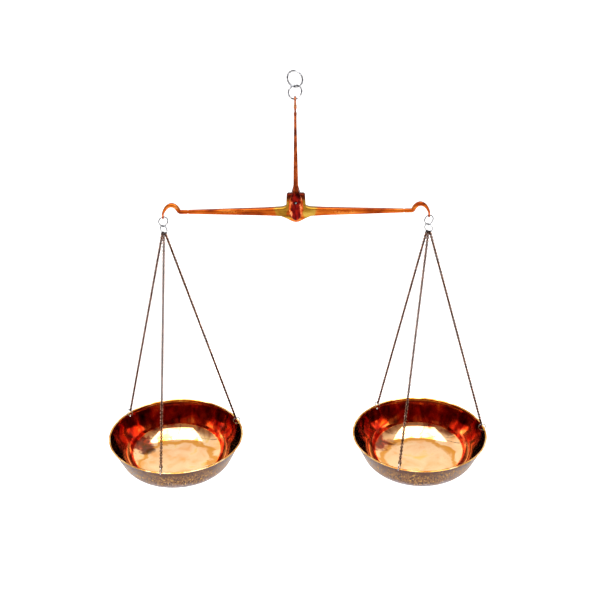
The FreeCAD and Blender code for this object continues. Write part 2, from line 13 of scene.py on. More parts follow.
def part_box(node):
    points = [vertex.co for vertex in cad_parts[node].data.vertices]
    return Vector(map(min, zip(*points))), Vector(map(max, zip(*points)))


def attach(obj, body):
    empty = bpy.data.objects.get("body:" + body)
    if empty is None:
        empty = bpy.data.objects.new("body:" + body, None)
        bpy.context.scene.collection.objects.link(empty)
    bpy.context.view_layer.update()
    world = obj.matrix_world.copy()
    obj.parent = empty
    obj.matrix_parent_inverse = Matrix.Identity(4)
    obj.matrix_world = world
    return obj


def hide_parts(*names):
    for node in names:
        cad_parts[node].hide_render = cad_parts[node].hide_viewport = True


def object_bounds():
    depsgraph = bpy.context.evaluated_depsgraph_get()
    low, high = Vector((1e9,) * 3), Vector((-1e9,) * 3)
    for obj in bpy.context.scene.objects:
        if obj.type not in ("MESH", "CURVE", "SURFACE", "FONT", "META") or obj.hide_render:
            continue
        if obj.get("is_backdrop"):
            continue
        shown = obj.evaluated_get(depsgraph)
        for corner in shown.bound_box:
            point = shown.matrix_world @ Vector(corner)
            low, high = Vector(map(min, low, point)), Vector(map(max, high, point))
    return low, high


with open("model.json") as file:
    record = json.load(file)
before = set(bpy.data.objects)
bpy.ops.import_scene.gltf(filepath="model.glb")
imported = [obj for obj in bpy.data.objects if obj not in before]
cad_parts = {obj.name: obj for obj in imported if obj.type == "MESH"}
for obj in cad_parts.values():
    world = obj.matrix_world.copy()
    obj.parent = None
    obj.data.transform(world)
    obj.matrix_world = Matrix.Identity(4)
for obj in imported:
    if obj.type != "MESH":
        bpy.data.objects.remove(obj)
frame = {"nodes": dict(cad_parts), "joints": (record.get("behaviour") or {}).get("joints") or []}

# Dresses a hand-held brass beam balance: rings, shears, beam, links, chains and spun pans.
# Metres, in the frame of the CAD model: +X along the beam, +Y to the back, +Z up.

log = logging.getLogger("balance")

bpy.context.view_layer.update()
MM = 0.001
UP = Vector((0.0, 0.0, 1.0))
BACK = Vector((0.0, 1.0, 0.0))
RIGHT = Vector((1.0, 0.0, 0.0))
FULL_TURN = 2 * math.pi
LEVEL = Vector((1.0, 1.0, 0.0))      # times this, a vector keeps only its level part
WELD = 0.002 * MM                    # points nearer than this are merged
NOISE_LOW, NOISE_HIGH = 0.3, 0.7     # most of a cloudy noise lies between these
LIT_AND_RUBBED = "rubbed"                    # how bright each chain link is drawn, from 0 to 1: painted light and shade, and wear by chance
FLAT_LINK_PAINTED_LIGHT = 0.55                     # painted light: how bright every other link is at least
CHANCE_WEAR = 0.45                   # the most that chance adds to any link

SocketValue = object


class Side(Enum):
    """Which arm of the beam a piece hangs from."""

    LEFT = -1
    RIGHT = 1

    @property
    def word(self) -> str:
        """The side's name as the pieces spell it."""
        return self.name.lower()


class ChainPlace(Enum):
    """The three chains of a pan, with their places on the gathering ring."""

    RIGHT = 1
    REAR = -1
    FRONT = 0

    @property
    def word(self) -> str:
        """The place's name as the pieces spell it."""
        return self.name.lower()


# ---- small helpers --------------------------------------------------------------------------


def linear(shade: str) -> tuple[float, float, float, float]:
    """Turn an sRGB hex colour to linear RGBA.

    Args:
        shade: The colour as "#RRGGBB".

    Returns:
        Linear red, green and blue, and an alpha of 1.
    """
    parts = [int(shade[i:i + 2], 16) / 255 for i in (1, 3, 5)]
    red, green, blue = (c / 12.92 if c <= 0.04045 else ((c + 0.055) / 1.055) ** 2.4 for c in parts)
    return red, green, blue, 1.0


def add_node(
    tree: bpy.types.NodeTree,
    kind: str,
    sockets: Optional[dict[Union[int, str], SocketValue]] = None,
    **settings: object,
) -> bpy.types.Node:
    """Add one node with its settings, its input values and its links.

    Args:
        tree: The tree that gets the node.
        kind: Blender's name of the node type.
        sockets: Input name or number to a value, or to the socket it is linked from.
        settings: Values of the node's own fields.

    Returns:
        The new node.
    """
    node = tree.nodes.new(kind)
    for name, value in settings.items():
        setattr(node, name, value)
    for key, value in (sockets or {}).items():
        if isinstance(value, bpy.types.NodeSocket):
            tree.links.new(value, node.inputs[key])
        else:
            node.inputs[key].default_value = value
    return node


def turned(degrees: float) -> Vector:
    """The level direction at an angle from +X, counter-clockwise from above."""
    a = math.radians(degrees)
    return Vector((math.cos(a), math.sin(a), 0.0))


def joint_at(name: str) -> Vector:
    """Where a joint of the record turns, in metres."""
    found = next(j for j in frame["joints"] if j["name"] == name)
    return Vector(found["pos_m"])


def box_middle(node: str) -> Vector:
    """The middle of a CAD node's box."""
    low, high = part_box(node)
    return (low + high) / 2


def interpolated(stops: Sequence[tuple[float, float]], at: float) -> float:
    """Read a value off straight lines between (place, value) stops.

    Args:
        stops: The stops in rising order of place.
        at: The place to read at.

    Returns:
        The value there, held level past either end.
    """
    if at <= stops[0][0]:
        return stops[0][1]
    for (a, value_a), (b, value_b) in zip(stops, stops[1:]):
        if at <= b:
            return value_a + (value_b - value_a) * (at - a) / (b - a)
    return stops[-1][1]


def make_object(name: str, mesh: bpy.types.Mesh) -> bpy.types.Object:
    """Put a mesh in the scene as an object at the origin."""
    piece = bpy.data.objects.new(name, mesh)
    bpy.context.scene.collection.objects.link(piece)
    return piece


def settled(piece: bpy.types.Object) -> bpy.types.Object:
    """Turn a piece's modifiers into plain mesh and drop them.

    Args:
        piece: The piece, with its modifiers live.

    Returns:
        The same piece with its final mesh.
    """
    graph = bpy.context.evaluated_depsgraph_get()
    mesh = bpy.data.meshes.new_from_object(piece.evaluated_get(graph))
    piece.modifiers.clear()
    piece.data = mesh
    mesh.name = piece.name
    return piece


def tidy_surface(piece: bpy.types.Object, crease: float) -> None:
    """Merge doubles, point faces outwards and keep edges sharper than an angle.

    Args:
        piece: The piece, with no modifiers.
        crease: Edges that turn by more than this many degrees stay sharp.
    """
    shape = bmesh.new()
    shape.from_mesh(piece.data)
    bmesh.ops.remove_doubles(shape, verts=shape.verts, dist=WELD)
    bmesh.ops.dissolve_degenerate(shape, edges=shape.edges, dist=WELD)
    bmesh.ops.recalc_face_normals(shape, faces=shape.faces)
    limit = math.radians(crease)
    for face in shape.faces:
        face.smooth = True
    for edge in shape.edges:
        edge.smooth = len(edge.link_faces) == 2 and edge.calc_face_angle(0.0) < limit
    shape.to_mesh(piece.data)
    shape.free()
    piece.data.update()


def loft(name: str, rows: Sequence[Sequence[Vector]], crease: float = 35.0) -> bpy.types.Object:
    """Skin closed rows of points, one after the other, with a cap at each end.

    Args:
        name: The piece's name.
        rows: Closed rows, all with the same number of points.
        crease: Edges that turn by more than this many degrees stay sharp.

    Returns:
        The closed solid as an object.
    """
    count = len(rows[0])
    points = [point for row in rows for point in row]
    faces: list[tuple[int, ...]] = []
    for r in range(len(rows) - 1):
        for i in range(count):
            j = (i + 1) % count
            faces.append((r * count + i, r * count + j, (r + 1) * count + j, (r + 1) * count + i))
    faces.append(tuple(range(count)))
    faces.append(tuple(range(len(points) - count, len(points))))
    mesh = bpy.data.meshes.new(name)
    mesh.from_pydata(points, [], faces)
    piece = make_object(name, mesh)
    tidy_surface(piece, crease)
    return piece


def dress(piece: bpy.types.Object, finish: bpy.types.Material) -> None:
    """Give a whole piece one finish."""
    piece.data.materials.clear()
    piece.data.materials.append(finish)


def cut_or_fuse(piece: bpy.types.Object, other: bpy.types.Object, operation: str) -> None:
    """Cut another solid out of a piece or fuse it on, and remove the other.

    Args:
        piece: The piece that stays.
        other: The solid that is used up.
        operation: "DIFFERENCE" or "UNION".
    """
    step = piece.modifiers.new("join", "BOOLEAN")
    step.operation = operation
    step.solver = "EXACT"
    step.object = other
    settled(piece)
    bpy.data.objects.remove(other)


def rounded_row(
    centre: Vector, across: Vector, depth_way: Vector, height: float, depth: float, corner: float,
    count: int = 24,
) -> list[Vector]:
    """A closed row round a soft-cornered rectangle.

    Args:
        centre: The row's middle.
        across: Unit direction of the height.
        depth_way: Unit direction of the depth.
        height: Size along across.
        depth: Size along depth_way.
        corner: 2 gives an oval; more gives squarer corners.
        count: Points round the row.

    Returns:
        The row's points.
    """
    row = []
    for i in range(count):
        a = FULL_TURN * (i + 0.5) / count
        c, s = math.cos(a), math.sin(a)
        y = math.copysign(abs(c) ** (2 / corner), c) * depth / 2
        z = math.copysign(abs(s) ** (2 / corner), s) * height / 2
        row.append(centre + depth_way * y + across * z)
    return row


# ---- geometry node recipes ------------------------------------------------------------------


class Recipe:
    """A geometry node tree with named inputs, used to grow pieces that repeat a shape."""

    def __init__(self, name: str, inputs: dict[str, str]) -> None:
        """Start a tree.

        Args:
            name: The tree's name.
            inputs: Input name to kind: Float, Int, Vector or Material.
        """
        self.tree = bpy.data.node_groups.new(name, "GeometryNodeTree")
        self.tree.interface.new_socket("Geometry", in_out="INPUT", socket_type="NodeSocketGeometry")
        self.tree.interface.new_socket("Geometry", in_out="OUTPUT", socket_type="NodeSocketGeometry")
        self.identifiers: dict[str, str] = {}
        for label, kind in inputs.items():
            item = self.tree.interface.new_socket(label, in_out="INPUT", socket_type="NodeSocket" + kind)
            self.identifiers[label] = item.identifier
        self.given = self.tree.nodes.new("NodeGroupInput")

    def add(self, kind: str, sockets: Optional[dict] = None, **settings: object) -> bpy.types.Node:
        """Add a node to the tree; see add_node."""
        return add_node(self.tree, kind, sockets, **settings)

    def value(self, label: str) -> bpy.types.NodeSocket:
        """The socket that carries a named input."""
        return self.given.outputs[label]

    def sum_of(self, operation: str, a: SocketValue, b: SocketValue) -> bpy.types.NodeSocket:
        """The result of one step of arithmetic on two numbers."""
        return self.add("ShaderNodeMath", {0: a, 1: b}, operation=operation).outputs[0]

    def section(self, sides: SocketValue, radius: SocketValue) -> bpy.types.NodeSocket:
        """A round wire's section."""
        return self.add("GeometryNodeCurvePrimitiveCircle", {
            "Resolution": sides, "Radius": radius,
        }, mode="RADIUS").outputs[0]

    def places(self) -> bpy.types.Node:
        """Even places along the line from the input First to the input Last, Count of them."""
        line = self.add("GeometryNodeCurvePrimitiveLine", {
            "Start": self.value("First"), "End": self.value("Last"),
        })
        return self.add("GeometryNodeCurveToPoints", {
            "Curve": line.outputs[0], "Count": self.value("Count"),
        }, mode="COUNT")

    def finish(self, geometry: bpy.types.NodeSocket, inner: Optional[bpy.types.NodeSocket] = None) -> None:
        """End the tree: realize, shade smooth and set the finish.

        Args:
            geometry: The grown geometry.
            inner: Where given, faces that take the input "Inner Finish" instead.
        """
        real = self.add("GeometryNodeRealizeInstances", {"Geometry": geometry})
        smooth = self.add("GeometryNodeSetShadeSmooth", {"Geometry": real.outputs[0]})
        dressed = self.add(
            "GeometryNodeSetMaterial", {"Geometry": smooth.outputs[0], "Material": self.value("Finish")}
        )
        if inner is not None:
            dressed = self.add(
                "GeometryNodeSetMaterial",
                {"Geometry": dressed.outputs[0], "Selection": inner, "Material": self.value("Inner Finish")},
            )
        self.add("NodeGroupOutput", {"Geometry": dressed.outputs[0]})

    def grow(
        self, name: str, values: dict[str, object], start: Optional[bpy.types.Object] = None
    ) -> bpy.types.Object:
        """Grow one piece and turn it into plain mesh.

        Args:
            name: The piece's name.
            values: Input name to value.
            start: The object whose mesh the tree works on; a new empty one if left out.

        Returns:
            The grown piece, with no modifiers.
        """
        piece = start or make_object(name, bpy.data.meshes.new(name))
        step = piece.modifiers.new(self.tree.name, "NODES")
        step.node_group = self.tree
        for label, value in values.items():
            step[self.identifiers[label]] = value
        return settled(piece)


def ring_recipe() -> Recipe:
    """A round ring of round wire whose two ends meet in a narrow butt joint.

    Returns:
        The recipe, with inputs Radius, Wire, Start, Sweep, Place, Turn, Segments, Sides and Finish.
    """
    recipe = Recipe("wire_ring", {
        "Radius": "Float", "Wire": "Float", "Start": "Float", "Sweep": "Float", "Place": "Vector",
        "Turn": "Vector", "Segments": "Int", "Sides": "Int", "Finish": "Material",
    })
    bend = recipe.add("GeometryNodeCurveArc", {
        "Resolution": recipe.value("Segments"), "Radius": recipe.value("Radius"),
        "Start Angle": recipe.value("Start"), "Sweep Angle": recipe.value("Sweep"),
    }, mode="RADIUS")
    section = recipe.section(recipe.value("Sides"), recipe.value("Wire"))
    wire = recipe.add("GeometryNodeCurveToMesh", {
        "Curve": bend.outputs[0], "Profile Curve": section, "Fill Caps": True,
    })
    placed = recipe.add("GeometryNodeTransform", {
        "Geometry": wire.outputs[0], "Translation": recipe.value("Place"), "Rotation": recipe.value("Turn"),
    })
    recipe.finish(placed.outputs[0])
    return recipe


def link_recipe() -> Recipe:
    """A wire bent along the path that the start mesh holds.

    Returns:
        The recipe, with inputs Wire, Sides and Finish.
    """
    recipe = Recipe("bent_wire", {"Wire": "Float", "Sides": "Int", "Finish": "Material"})
    path = recipe.add("GeometryNodeMeshToCurve", {"Mesh": recipe.value("Geometry")})
    section = recipe.section(recipe.value("Sides"), recipe.value("Wire"))
    wire = recipe.add("GeometryNodeCurveToMesh", {
        "Curve": path.outputs[0], "Profile Curve": section, "Fill Caps": True,
    })
    recipe.finish(wire.outputs[0])
    return recipe


def chain_recipe() -> Recipe:
    """Oval links one in the other along a straight line, each a quarter turn from the last.

    Returns:
        The recipe, with inputs First, Last, Count, Half Length, Half Width, Wire, Unrest, Seed and Finish.
    """
    recipe = Recipe("linked_chain", {
        "First": "Vector", "Last": "Vector", "Count": "Int", "Half Length": "Float", "Half Width": "Float",
        "Wire": "Float", "Unrest": "Float", "Seed": "Int", "Finish": "Material",
    })
    places = recipe.places()
    oval = recipe.section(12, 1.0)
    size = recipe.add("ShaderNodeCombineXYZ", {
        "X": recipe.value("Half Width"), "Y": recipe.value("Half Length"), "Z": 1.0,
    })
    shaped = recipe.add("GeometryNodeTransform", {"Geometry": oval, "Scale": size.outputs[0]})
    link = recipe.add("GeometryNodeCurveToMesh", {
        "Curve": shaped.outputs[0], "Profile Curve": recipe.section(5, recipe.value("Wire")),
    })
    # the link's long axis is Y, so that is turned along the chain first
    along = recipe.add("FunctionNodeAlignRotationToVector", {"Vector": places.outputs["Tangent"]}, axis="Y")
    index = recipe.add("GeometryNodeInputIndex")
    unrest = recipe.add("FunctionNodeRandomValue", {
        2: recipe.sum_of("MULTIPLY", recipe.value("Unrest"), -1.0), 3: recipe.value("Unrest"),
        "Seed": recipe.value("Seed"),
    }, data_type="FLOAT")
    quarter = recipe.sum_of("MULTIPLY", index.outputs[0], math.pi / 2)
    twist = recipe.sum_of("ADD", quarter, unrest.outputs[1])
    about = recipe.add("FunctionNodeAxisAngleToRotation", {"Axis": BACK, "Angle": twist})
    turn = recipe.add("FunctionNodeRotateRotation", {
        "Rotation": along.outputs[0], "Rotate By": about.outputs[0],
    }, rotation_space="LOCAL")
    links = recipe.add("GeometryNodeInstanceOnPoints", {
        "Points": places.outputs[0], "Instance": link.outputs[0], "Rotation": turn.outputs[0],
    })
    # painted light and shade: links that lie flat are painted pale as lit, and the ones between them stay
    # dark as shaded
    flat = recipe.sum_of("MODULO", recipe.sum_of("ADD", index.outputs[0], 1.0), 2.0)
    chance = recipe.add("FunctionNodeRandomValue", {
        2: 0.0, 3: CHANCE_WEAR, "Seed": recipe.value("Seed"),
    }, data_type="FLOAT")
    rubbed = recipe.sum_of("ADD", recipe.sum_of("MULTIPLY", flat, FLAT_LINK_PAINTED_LIGHT), chance.outputs[1])
    marked = recipe.add("GeometryNodeStoreNamedAttribute", {
        "Geometry": links.outputs[0], "Name": LIT_AND_RUBBED, "Value": rubbed,
    }, data_type="FLOAT", domain="INSTANCE")
    recipe.finish(marked.outputs[0])
    return recipe


def punch_recipe() -> Recipe:
    """A row of small wedge marks, punched into the start mesh from the front.

    Returns:
        The recipe, with inputs First, Last, Count, Radius, Depth, Lean, Sway, Slim and Finish.
    """
    recipe = Recipe("punched_row", {
        "First": "Vector", "Last": "Vector", "Count": "Int", "Radius": "Float", "Depth": "Float",
        "Lean": "Float", "Sway": "Float", "Slim": "Float", "Finish": "Material",
    })
    places = recipe.places()
    index = recipe.add("GeometryNodeInputIndex")
    # every other mark leans and sits the other way
    odd = recipe.sum_of("MODULO", index.outputs[0], 2.0)
    way = recipe.add("ShaderNodeMath", {0: odd, 1: 2.0, 2: -1.0}, operation="MULTIPLY_ADD").outputs[0]
    shift = recipe.add("ShaderNodeCombineXYZ", {"Z": recipe.sum_of("MULTIPLY", way, recipe.value("Sway"))})
    spread = recipe.add("GeometryNodeSetPosition", {
        "Geometry": places.outputs[0], "Offset": shift.outputs[0],
    })
    punch = recipe.add("GeometryNodeMeshCone", {
        "Vertices": 6, "Radius Top": 0.0, "Radius Bottom": recipe.value("Radius"),
        "Depth": recipe.value("Depth"),
    })
    facing = recipe.add("GeometryNodeTransform", {
        "Geometry": punch.outputs[0], "Rotation": (-math.pi / 2, 0.0, 0.0),
    })
    slim = recipe.add("ShaderNodeCombineXYZ", {"X": recipe.value("Slim"), "Y": 1.0, "Z": 1.0})
    lean = recipe.add("FunctionNodeAxisAngleToRotation", {
        "Axis": BACK, "Angle": recipe.sum_of("MULTIPLY", way, recipe.value("Lean")),
    })
    marks = recipe.add("GeometryNodeInstanceOnPoints", {
        "Points": spread.outputs[0], "Instance": facing.outputs[0], "Rotation": lean.outputs[0],
        "Scale": slim.outputs[0],
    })
    tools = recipe.add("GeometryNodeRealizeInstances", {"Geometry": marks.outputs[0]})
    cut = recipe.add("GeometryNodeMeshBoolean", {
        "Mesh 1": recipe.value("Geometry"), "Mesh 2": tools.outputs[0], "Self Intersection": True,
    }, operation="DIFFERENCE", solver="EXACT")
    recipe.finish(cut.outputs[0])
    return recipe


def pan_recipe() -> Recipe:
    """Three round holes drilled through the start mesh at even steps, and the two finishes.

    Returns:
        The recipe, with inputs Middle, Reach, First Angle, Radius, Depth, Finish and Inner Finish.
    """
    recipe = Recipe("drilled_pan", {
        "Middle": "Vector", "Reach": "Float", "First Angle": "Float", "Radius": "Float", "Depth": "Float",
        "Finish": "Material", "Inner Finish": "Material",
    })
    places = recipe.add("GeometryNodeMeshCircle", {"Vertices": 3, "Radius": recipe.value("Reach")})
    drill = recipe.add("GeometryNodeMeshCylinder", {
        "Vertices": 20, "Radius": recipe.value("Radius"), "Depth": recipe.value("Depth"),
    })
    spot = recipe.add("GeometryNodeInputPosition")
    outward = recipe.add("FunctionNodeAlignRotationToVector", {"Vector": spot.outputs[0]}, axis="Z")
    drills = recipe.add("GeometryNodeInstanceOnPoints", {
        "Points": places.outputs[0], "Instance": drill.outputs[0], "Rotation": outward.outputs[0],
    })
    real = recipe.add("GeometryNodeRealizeInstances", {"Geometry": drills.outputs[0]})
    turn = recipe.add("ShaderNodeCombineXYZ", {"Z": recipe.value("First Angle")})
    placed = recipe.add("GeometryNodeTransform", {
        "Geometry": real.outputs[0], "Translation": recipe.value("Middle"), "Rotation": turn.outputs[0],
    })
    cut = recipe.add("GeometryNodeMeshBoolean", {
        "Mesh 1": recipe.value("Geometry"), "Mesh 2": placed.outputs[0],
    }, operation="DIFFERENCE", solver="EXACT")
    # the inside of the pan looks up, the outside looks down
    facing = recipe.add("ShaderNodeSeparateXYZ", {0: recipe.add("GeometryNodeInputNormal").outputs[0]})
    inner = recipe.add("FunctionNodeCompare", {0: facing.outputs["Z"], 1: 0.05}, operation="GREATER_THAN")
    recipe.finish(cut.outputs[0], inner.outputs[0])
    return recipe


# ---- finishes -------------------------------------------------------------------------------


class Shades:
    """The node tree of one material while it is being built."""

    def __init__(self, name: str) -> None:
        """Start an empty material with a principled shader."""
        self.material = bpy.data.materials.new(name)
        self.material.use_nodes = True
        self.tree = self.material.node_tree
        self.tree.nodes.clear()
        self.shader = self.add("ShaderNodeBsdfPrincipled")
        self.add("ShaderNodeOutputMaterial", {"Surface": self.shader.outputs[0]})
        self.place = self.add("ShaderNodeTexCoord").outputs["Object"]

    def add(self, kind: str, sockets: Optional[dict] = None, **settings: object) -> bpy.types.Node:
        """Add a node to the material; see add_node."""
        return add_node(self.tree, kind, sockets, **settings)

    def noise(
        self, grain: float, detail: float = 3.0, stretch: Sequence[float] = (1.0, 1.0, 1.0),
        warp: float = 0.0,
    ) -> bpy.types.NodeSocket:
        """Cloudy noise from the object's own coordinates.

        Args:
            grain: Size of a cloud in metres.
            detail: How much finer structure it holds.
            stretch: Less than 1 along an axis draws the clouds out along it.
            warp: How far the noise bends itself.

        Returns:
            The noise from 0 to 1.
        """
        mapped = self.add("ShaderNodeMapping", {"Vector": self.place, "Scale": stretch})
        clouds = self.add("ShaderNodeTexNoise", {
            "Vector": mapped.outputs[0], "Scale": 1 / grain, "Detail": detail, "Distortion": warp,
        })
        return clouds.outputs[0]

    def ramp(self, factor: bpy.types.NodeSocket, stops: Sequence[tuple[float, str]]) -> bpy.types.NodeSocket:
        """Colours along a factor.

        Args:
            factor: The factor, from 0 to 1.
            stops: (place, sRGB hex) in rising order.

        Returns:
            The colour.
        """
        node = self.add("ShaderNodeValToRGB", {"Fac": factor})
        marks = node.color_ramp.elements
        while len(marks) < len(stops):
            marks.new(0.5)
        for mark, (place, shade) in zip(marks, stops):
            mark.position = place
            mark.color = linear(shade)
        return node.outputs[0]

    def span(
        self, value: bpy.types.NodeSocket, low: float, high: float, to_low: float = 0.0, to_high: float = 1.0
    ) -> bpy.types.NodeSocket:
        """Map a number from one range to another, held at the ends."""
        return self.add("ShaderNodeMapRange", {
            0: value, 1: low, 2: high, 3: to_low, 4: to_high,
        }, interpolation_type="SMOOTHSTEP").outputs[0]

    def follow(self, noise: bpy.types.NodeSocket, at_low: float, at_high: float) -> bpy.types.NodeSocket:
        """A number that follows a noise from one value to another."""
        return self.span(noise, NOISE_LOW, NOISE_HIGH, at_low, at_high)

    def height(self) -> bpy.types.NodeSocket:
        """Height in the object's own coordinates, in metres."""
        return self.add("ShaderNodeSeparateXYZ", {0: self.place}).outputs["Z"]

    def blend(self, factor: bpy.types.NodeSocket, a: SocketValue, b: SocketValue) -> bpy.types.NodeSocket:
        """Mix two colours, each a socket or an sRGB hex."""
        first, second = (linear(c) if isinstance(c, str) else c for c in (a, b))
        return self.add("ShaderNodeMix", {0: factor, 6: first, 7: second}, data_type="RGBA").outputs[2]

    def sums(self, operation: str, a: SocketValue, b: SocketValue) -> bpy.types.NodeSocket:
        """One step of arithmetic on two numbers."""
        return self.add("ShaderNodeMath", {0: a, 1: b}, operation=operation).outputs[0]

    def bump(self, height: bpy.types.NodeSocket, depth: float) -> None:
        """Raise the surface by a height from 0 to 1, so many metres deep."""
        relief = self.add("ShaderNodeBump", {"Height": height, "Distance": depth, "Strength": 1.0})
        self.tree.links.new(relief.outputs[0], self.shader.inputs["Normal"])

    def wear(
        self, colour: bpy.types.NodeSocket, roughness: bpy.types.NodeSocket, metallic: float = 1.0
    ) -> bpy.types.Material:
        """Connect colour and roughness to the shader, and give the material."""
        self.tree.links.new(colour, self.shader.inputs["Base Color"])
        self.tree.links.new(roughness, self.shader.inputs["Roughness"])
        self.shader.inputs["Metallic"].default_value = metallic
        return self.material


@dataclass(frozen=True)
class CastBrass:
    """Forged and filed brass gone orange-brown: streaks along the filing, old gold by the boss, and painted
    shade over the boss's top.
    """

    name: str = "cast_brass_filed"
    stops: tuple[tuple[float, str], ...] = (
        (0.28, "#561A0A"), (0.42, "#8E3A0C"), (0.55, "#A65014"), (0.68, "#BA7030"), (0.8, "#E0AC7C"),
    )
    gold_stops: tuple[tuple[float, str], ...] = ((0.3, "#6A4A12"), (0.5, "#8A6E20"), (0.7, "#AA9440"))
    gold_from: float = 6.0 * MM         # the old gold lies each side of the cheeks
    gold_to: float = 13.0 * MM
    painted_top_shade: str = "#460C06"          # painted shade: the boss's top is darkened nearly black-red
    painted_top_from: float = 0.5 * MM          # above the pivot
    painted_top_to: float = 4.0 * MM
    painted_top_shade_share: float = 0.95
    painted_top_fade: float = 2.0 * MM
    gold_fade: tuple[float, float] = (1.5 * MM, 4.0 * MM)  # how softly it starts and ends
    gold_wander: float = 2.0 * MM       # how far its edges stray
    gold_share: float = 0.8
    streak: float = 4.0 * MM
    stretch: tuple[float, float, float] = (0.22, 1.0, 1.0)
    pit: float = 0.55 * MM      # casting pits, drawn about three times coarser than they are
    pit_shade: str = "#4A1A0A"
    pit_share: float = 0.64
    polish: tuple[float, float] = (0.2, 0.44)
    relief: float = 0.02 * MM

    def build(self) -> bpy.types.Material:
        """Build the material.

        Returns:
            The finish for the beam.
        """
        shades = Shades(self.name)
        streaks = shades.noise(self.streak, 5.0, self.stretch, 0.4)
        pits = shades.noise(self.pit, 2.0)
        colour = shades.ramp(streaks, self.stops)
        parts = shades.add("ShaderNodeSeparateXYZ", {0: shades.place})
        out = shades.sums("ABSOLUTE", parts.outputs["X"], 0.0)
        uneven = shades.follow(shades.noise(self.streak, 3.0), -self.gold_wander, self.gold_wander)
        ragged = shades.sums("ADD", out, uneven)
        inner = shades.span(ragged, self.gold_from - self.gold_fade[0], self.gold_from)
        outer = shades.span(ragged, self.gold_to, self.gold_to + self.gold_fade[1], 1.0, 0.0)
        gold = shades.sums("MULTIPLY", shades.sums("MULTIPLY", inner, outer), self.gold_share)
        colour = shades.blend(gold, colour, shades.ramp(streaks, self.gold_stops))
        # painted shade: the boss's top, above the pivot, is darkened nearly black-red, fading out past the
        # boss
        pivot_z = joint_at("beam_tilt").z
        top = shades.span(
            parts.outputs["Z"], pivot_z + self.painted_top_from, pivot_z + self.painted_top_to, 0.0, self.painted_top_shade_share
        )
        boss = shades.span(out, self.gold_to, self.gold_to + self.painted_top_fade, 1.0, 0.0)
        colour = shades.blend(shades.sums("MULTIPLY", top, boss), colour, self.painted_top_shade)
        spots = shades.span(pits, self.pit_share, self.pit_share + 0.1, 0.0, 0.5)
        colour = shades.blend(spots, colour, self.pit_shade)
        shades.bump(pits, self.relief)
        return shades.wear(colour, shades.follow(streaks, *reversed(self.polish)))


@dataclass(frozen=True)
class CheekBrass:
    """Forged brass under old red lacquer: glossy, with a painted dark reflection down the middle and a
    painted bright reflection at the edges.
    """

    name: str = "lacquered_brass_fork"
    painted_dark_middle_stops: tuple[tuple[float, str], ...] = ((0.3, "#2C0606"), (0.5, "#5E0C0A"), (0.7, "#8E160C"))
    painted_bright_edge_stops: tuple[tuple[float, str], ...] = ((0.3, "#A43212"), (0.5, "#D05A1E"), (0.72, "#F0A070"))
    tine_stops: tuple[tuple[float, str], ...] = ((0.3, "#5A1E0C"), (0.5, "#8E3C18"), (0.72, "#BE6A34"))
    band: float = 2.5 * MM              # half width of the painted dark reflection down the middle
    # where the painted bright reflection at the edges is full
    edge: float = 4.9 * MM
    wander: float = 0.9 * MM            # how far the painted dark reflection's edge strays
    tine_from: float = 7.5 * MM         # above the pivot, where the cheek turns to tine
    tine_to: float = 12.0 * MM
    cloud: float = 2.4 * MM
    relief: float = 0.05 * MM
    polish: tuple[float, float] = (0.12, 0.28)

    def build(self) -> bpy.types.Material:
        """Build the material.

        Returns:
            The finish for both tines, with their cheeks.
        """
        shades = Shades(self.name)
        clouds = shades.noise(self.cloud, 4.0, (1.0, 1.0, 0.5), 0.6)
        parts = shades.add("ShaderNodeSeparateXYZ", {0: shades.place})
        out = shades.sums("ABSOLUTE", parts.outputs["X"], 0.0)
        # painted reflection: dark down the middle of each cheek, bright towards its edges
        ragged = shades.sums("ADD", out, shades.follow(clouds, -self.wander, self.wander))
        rim = shades.span(ragged, self.band, self.edge)
        painted_dark_middle = shades.ramp(clouds, self.painted_dark_middle_stops)
        cheek = shades.blend(rim, painted_dark_middle, shades.ramp(clouds, self.painted_bright_edge_stops))
        pivot_z = joint_at("beam_tilt").z
        up_the_tine = shades.span(parts.outputs["Z"], pivot_z + self.tine_from, pivot_z + self.tine_to)
        colour = shades.blend(up_the_tine, cheek, shades.ramp(clouds, self.tine_stops))
        shades.bump(clouds, self.relief)
        return shades.wear(colour, shades.follow(clouds, *self.polish))


@dataclass(frozen=True)
class TurnedBrass:
    """Lathe-turned brass: fine rings round the stem over a red-brown tarnish."""

    name: str = "turned_brass"
    stops: tuple[tuple[float, str], ...] = ((0.3, "#4A1A0E"), (0.5, "#8E4424"), (0.75, "#D49868"))
    ring: float = 0.45 * MM     # tool marks, about twice as wide as real ones
    cloud: float = 3.0 * MM
    relief: float = 0.03 * MM
    polish: tuple[float, float] = (0.18, 0.36)

    def build(self) -> bpy.types.Material:
        """Build the material.

        Returns:
            The finish for turned pieces.
        """
        shades = Shades(self.name)
        clouds = shades.noise(self.cloud, 4.0)
        rings = shades.noise(self.ring, 1.0, (0.02, 0.02, 1.0))
        shades.bump(rings, self.relief)
        return shades.wear(shades.ramp(clouds, self.stops), shades.follow(rings, *self.polish))


@dataclass(frozen=True)
class LipBrass:
    """The pans' turned-over lip: bare brass, kept bright by handling, with pale worn patches."""

    stops: tuple[tuple[float, str], ...] = ((0.35, "#B8742A"), (0.5, "#E2A646"), (0.68, "#F6D9A6"))
    cloud: float = 7.0 * MM
    below: float = 1.5 * MM    # how far down from the rim it reaches
    fade: float = 0.3 * MM

    def over(self, shades: Shades, rim_z: float, colour: bpy.types.NodeSocket) -> bpy.types.NodeSocket:
        """Lay the lip's colour over a wall's colour near the rim.

        Args:
            shades: The wall's material.
            rim_z: Height of the rim.
            colour: The wall's colour.

        Returns:
            The two together.
        """
        low = rim_z - self.below
        near = shades.span(shades.height(), low - self.fade, low)
        return shades.blend(near, colour, shades.ramp(shades.noise(self.cloud, 4.0), self.stops))


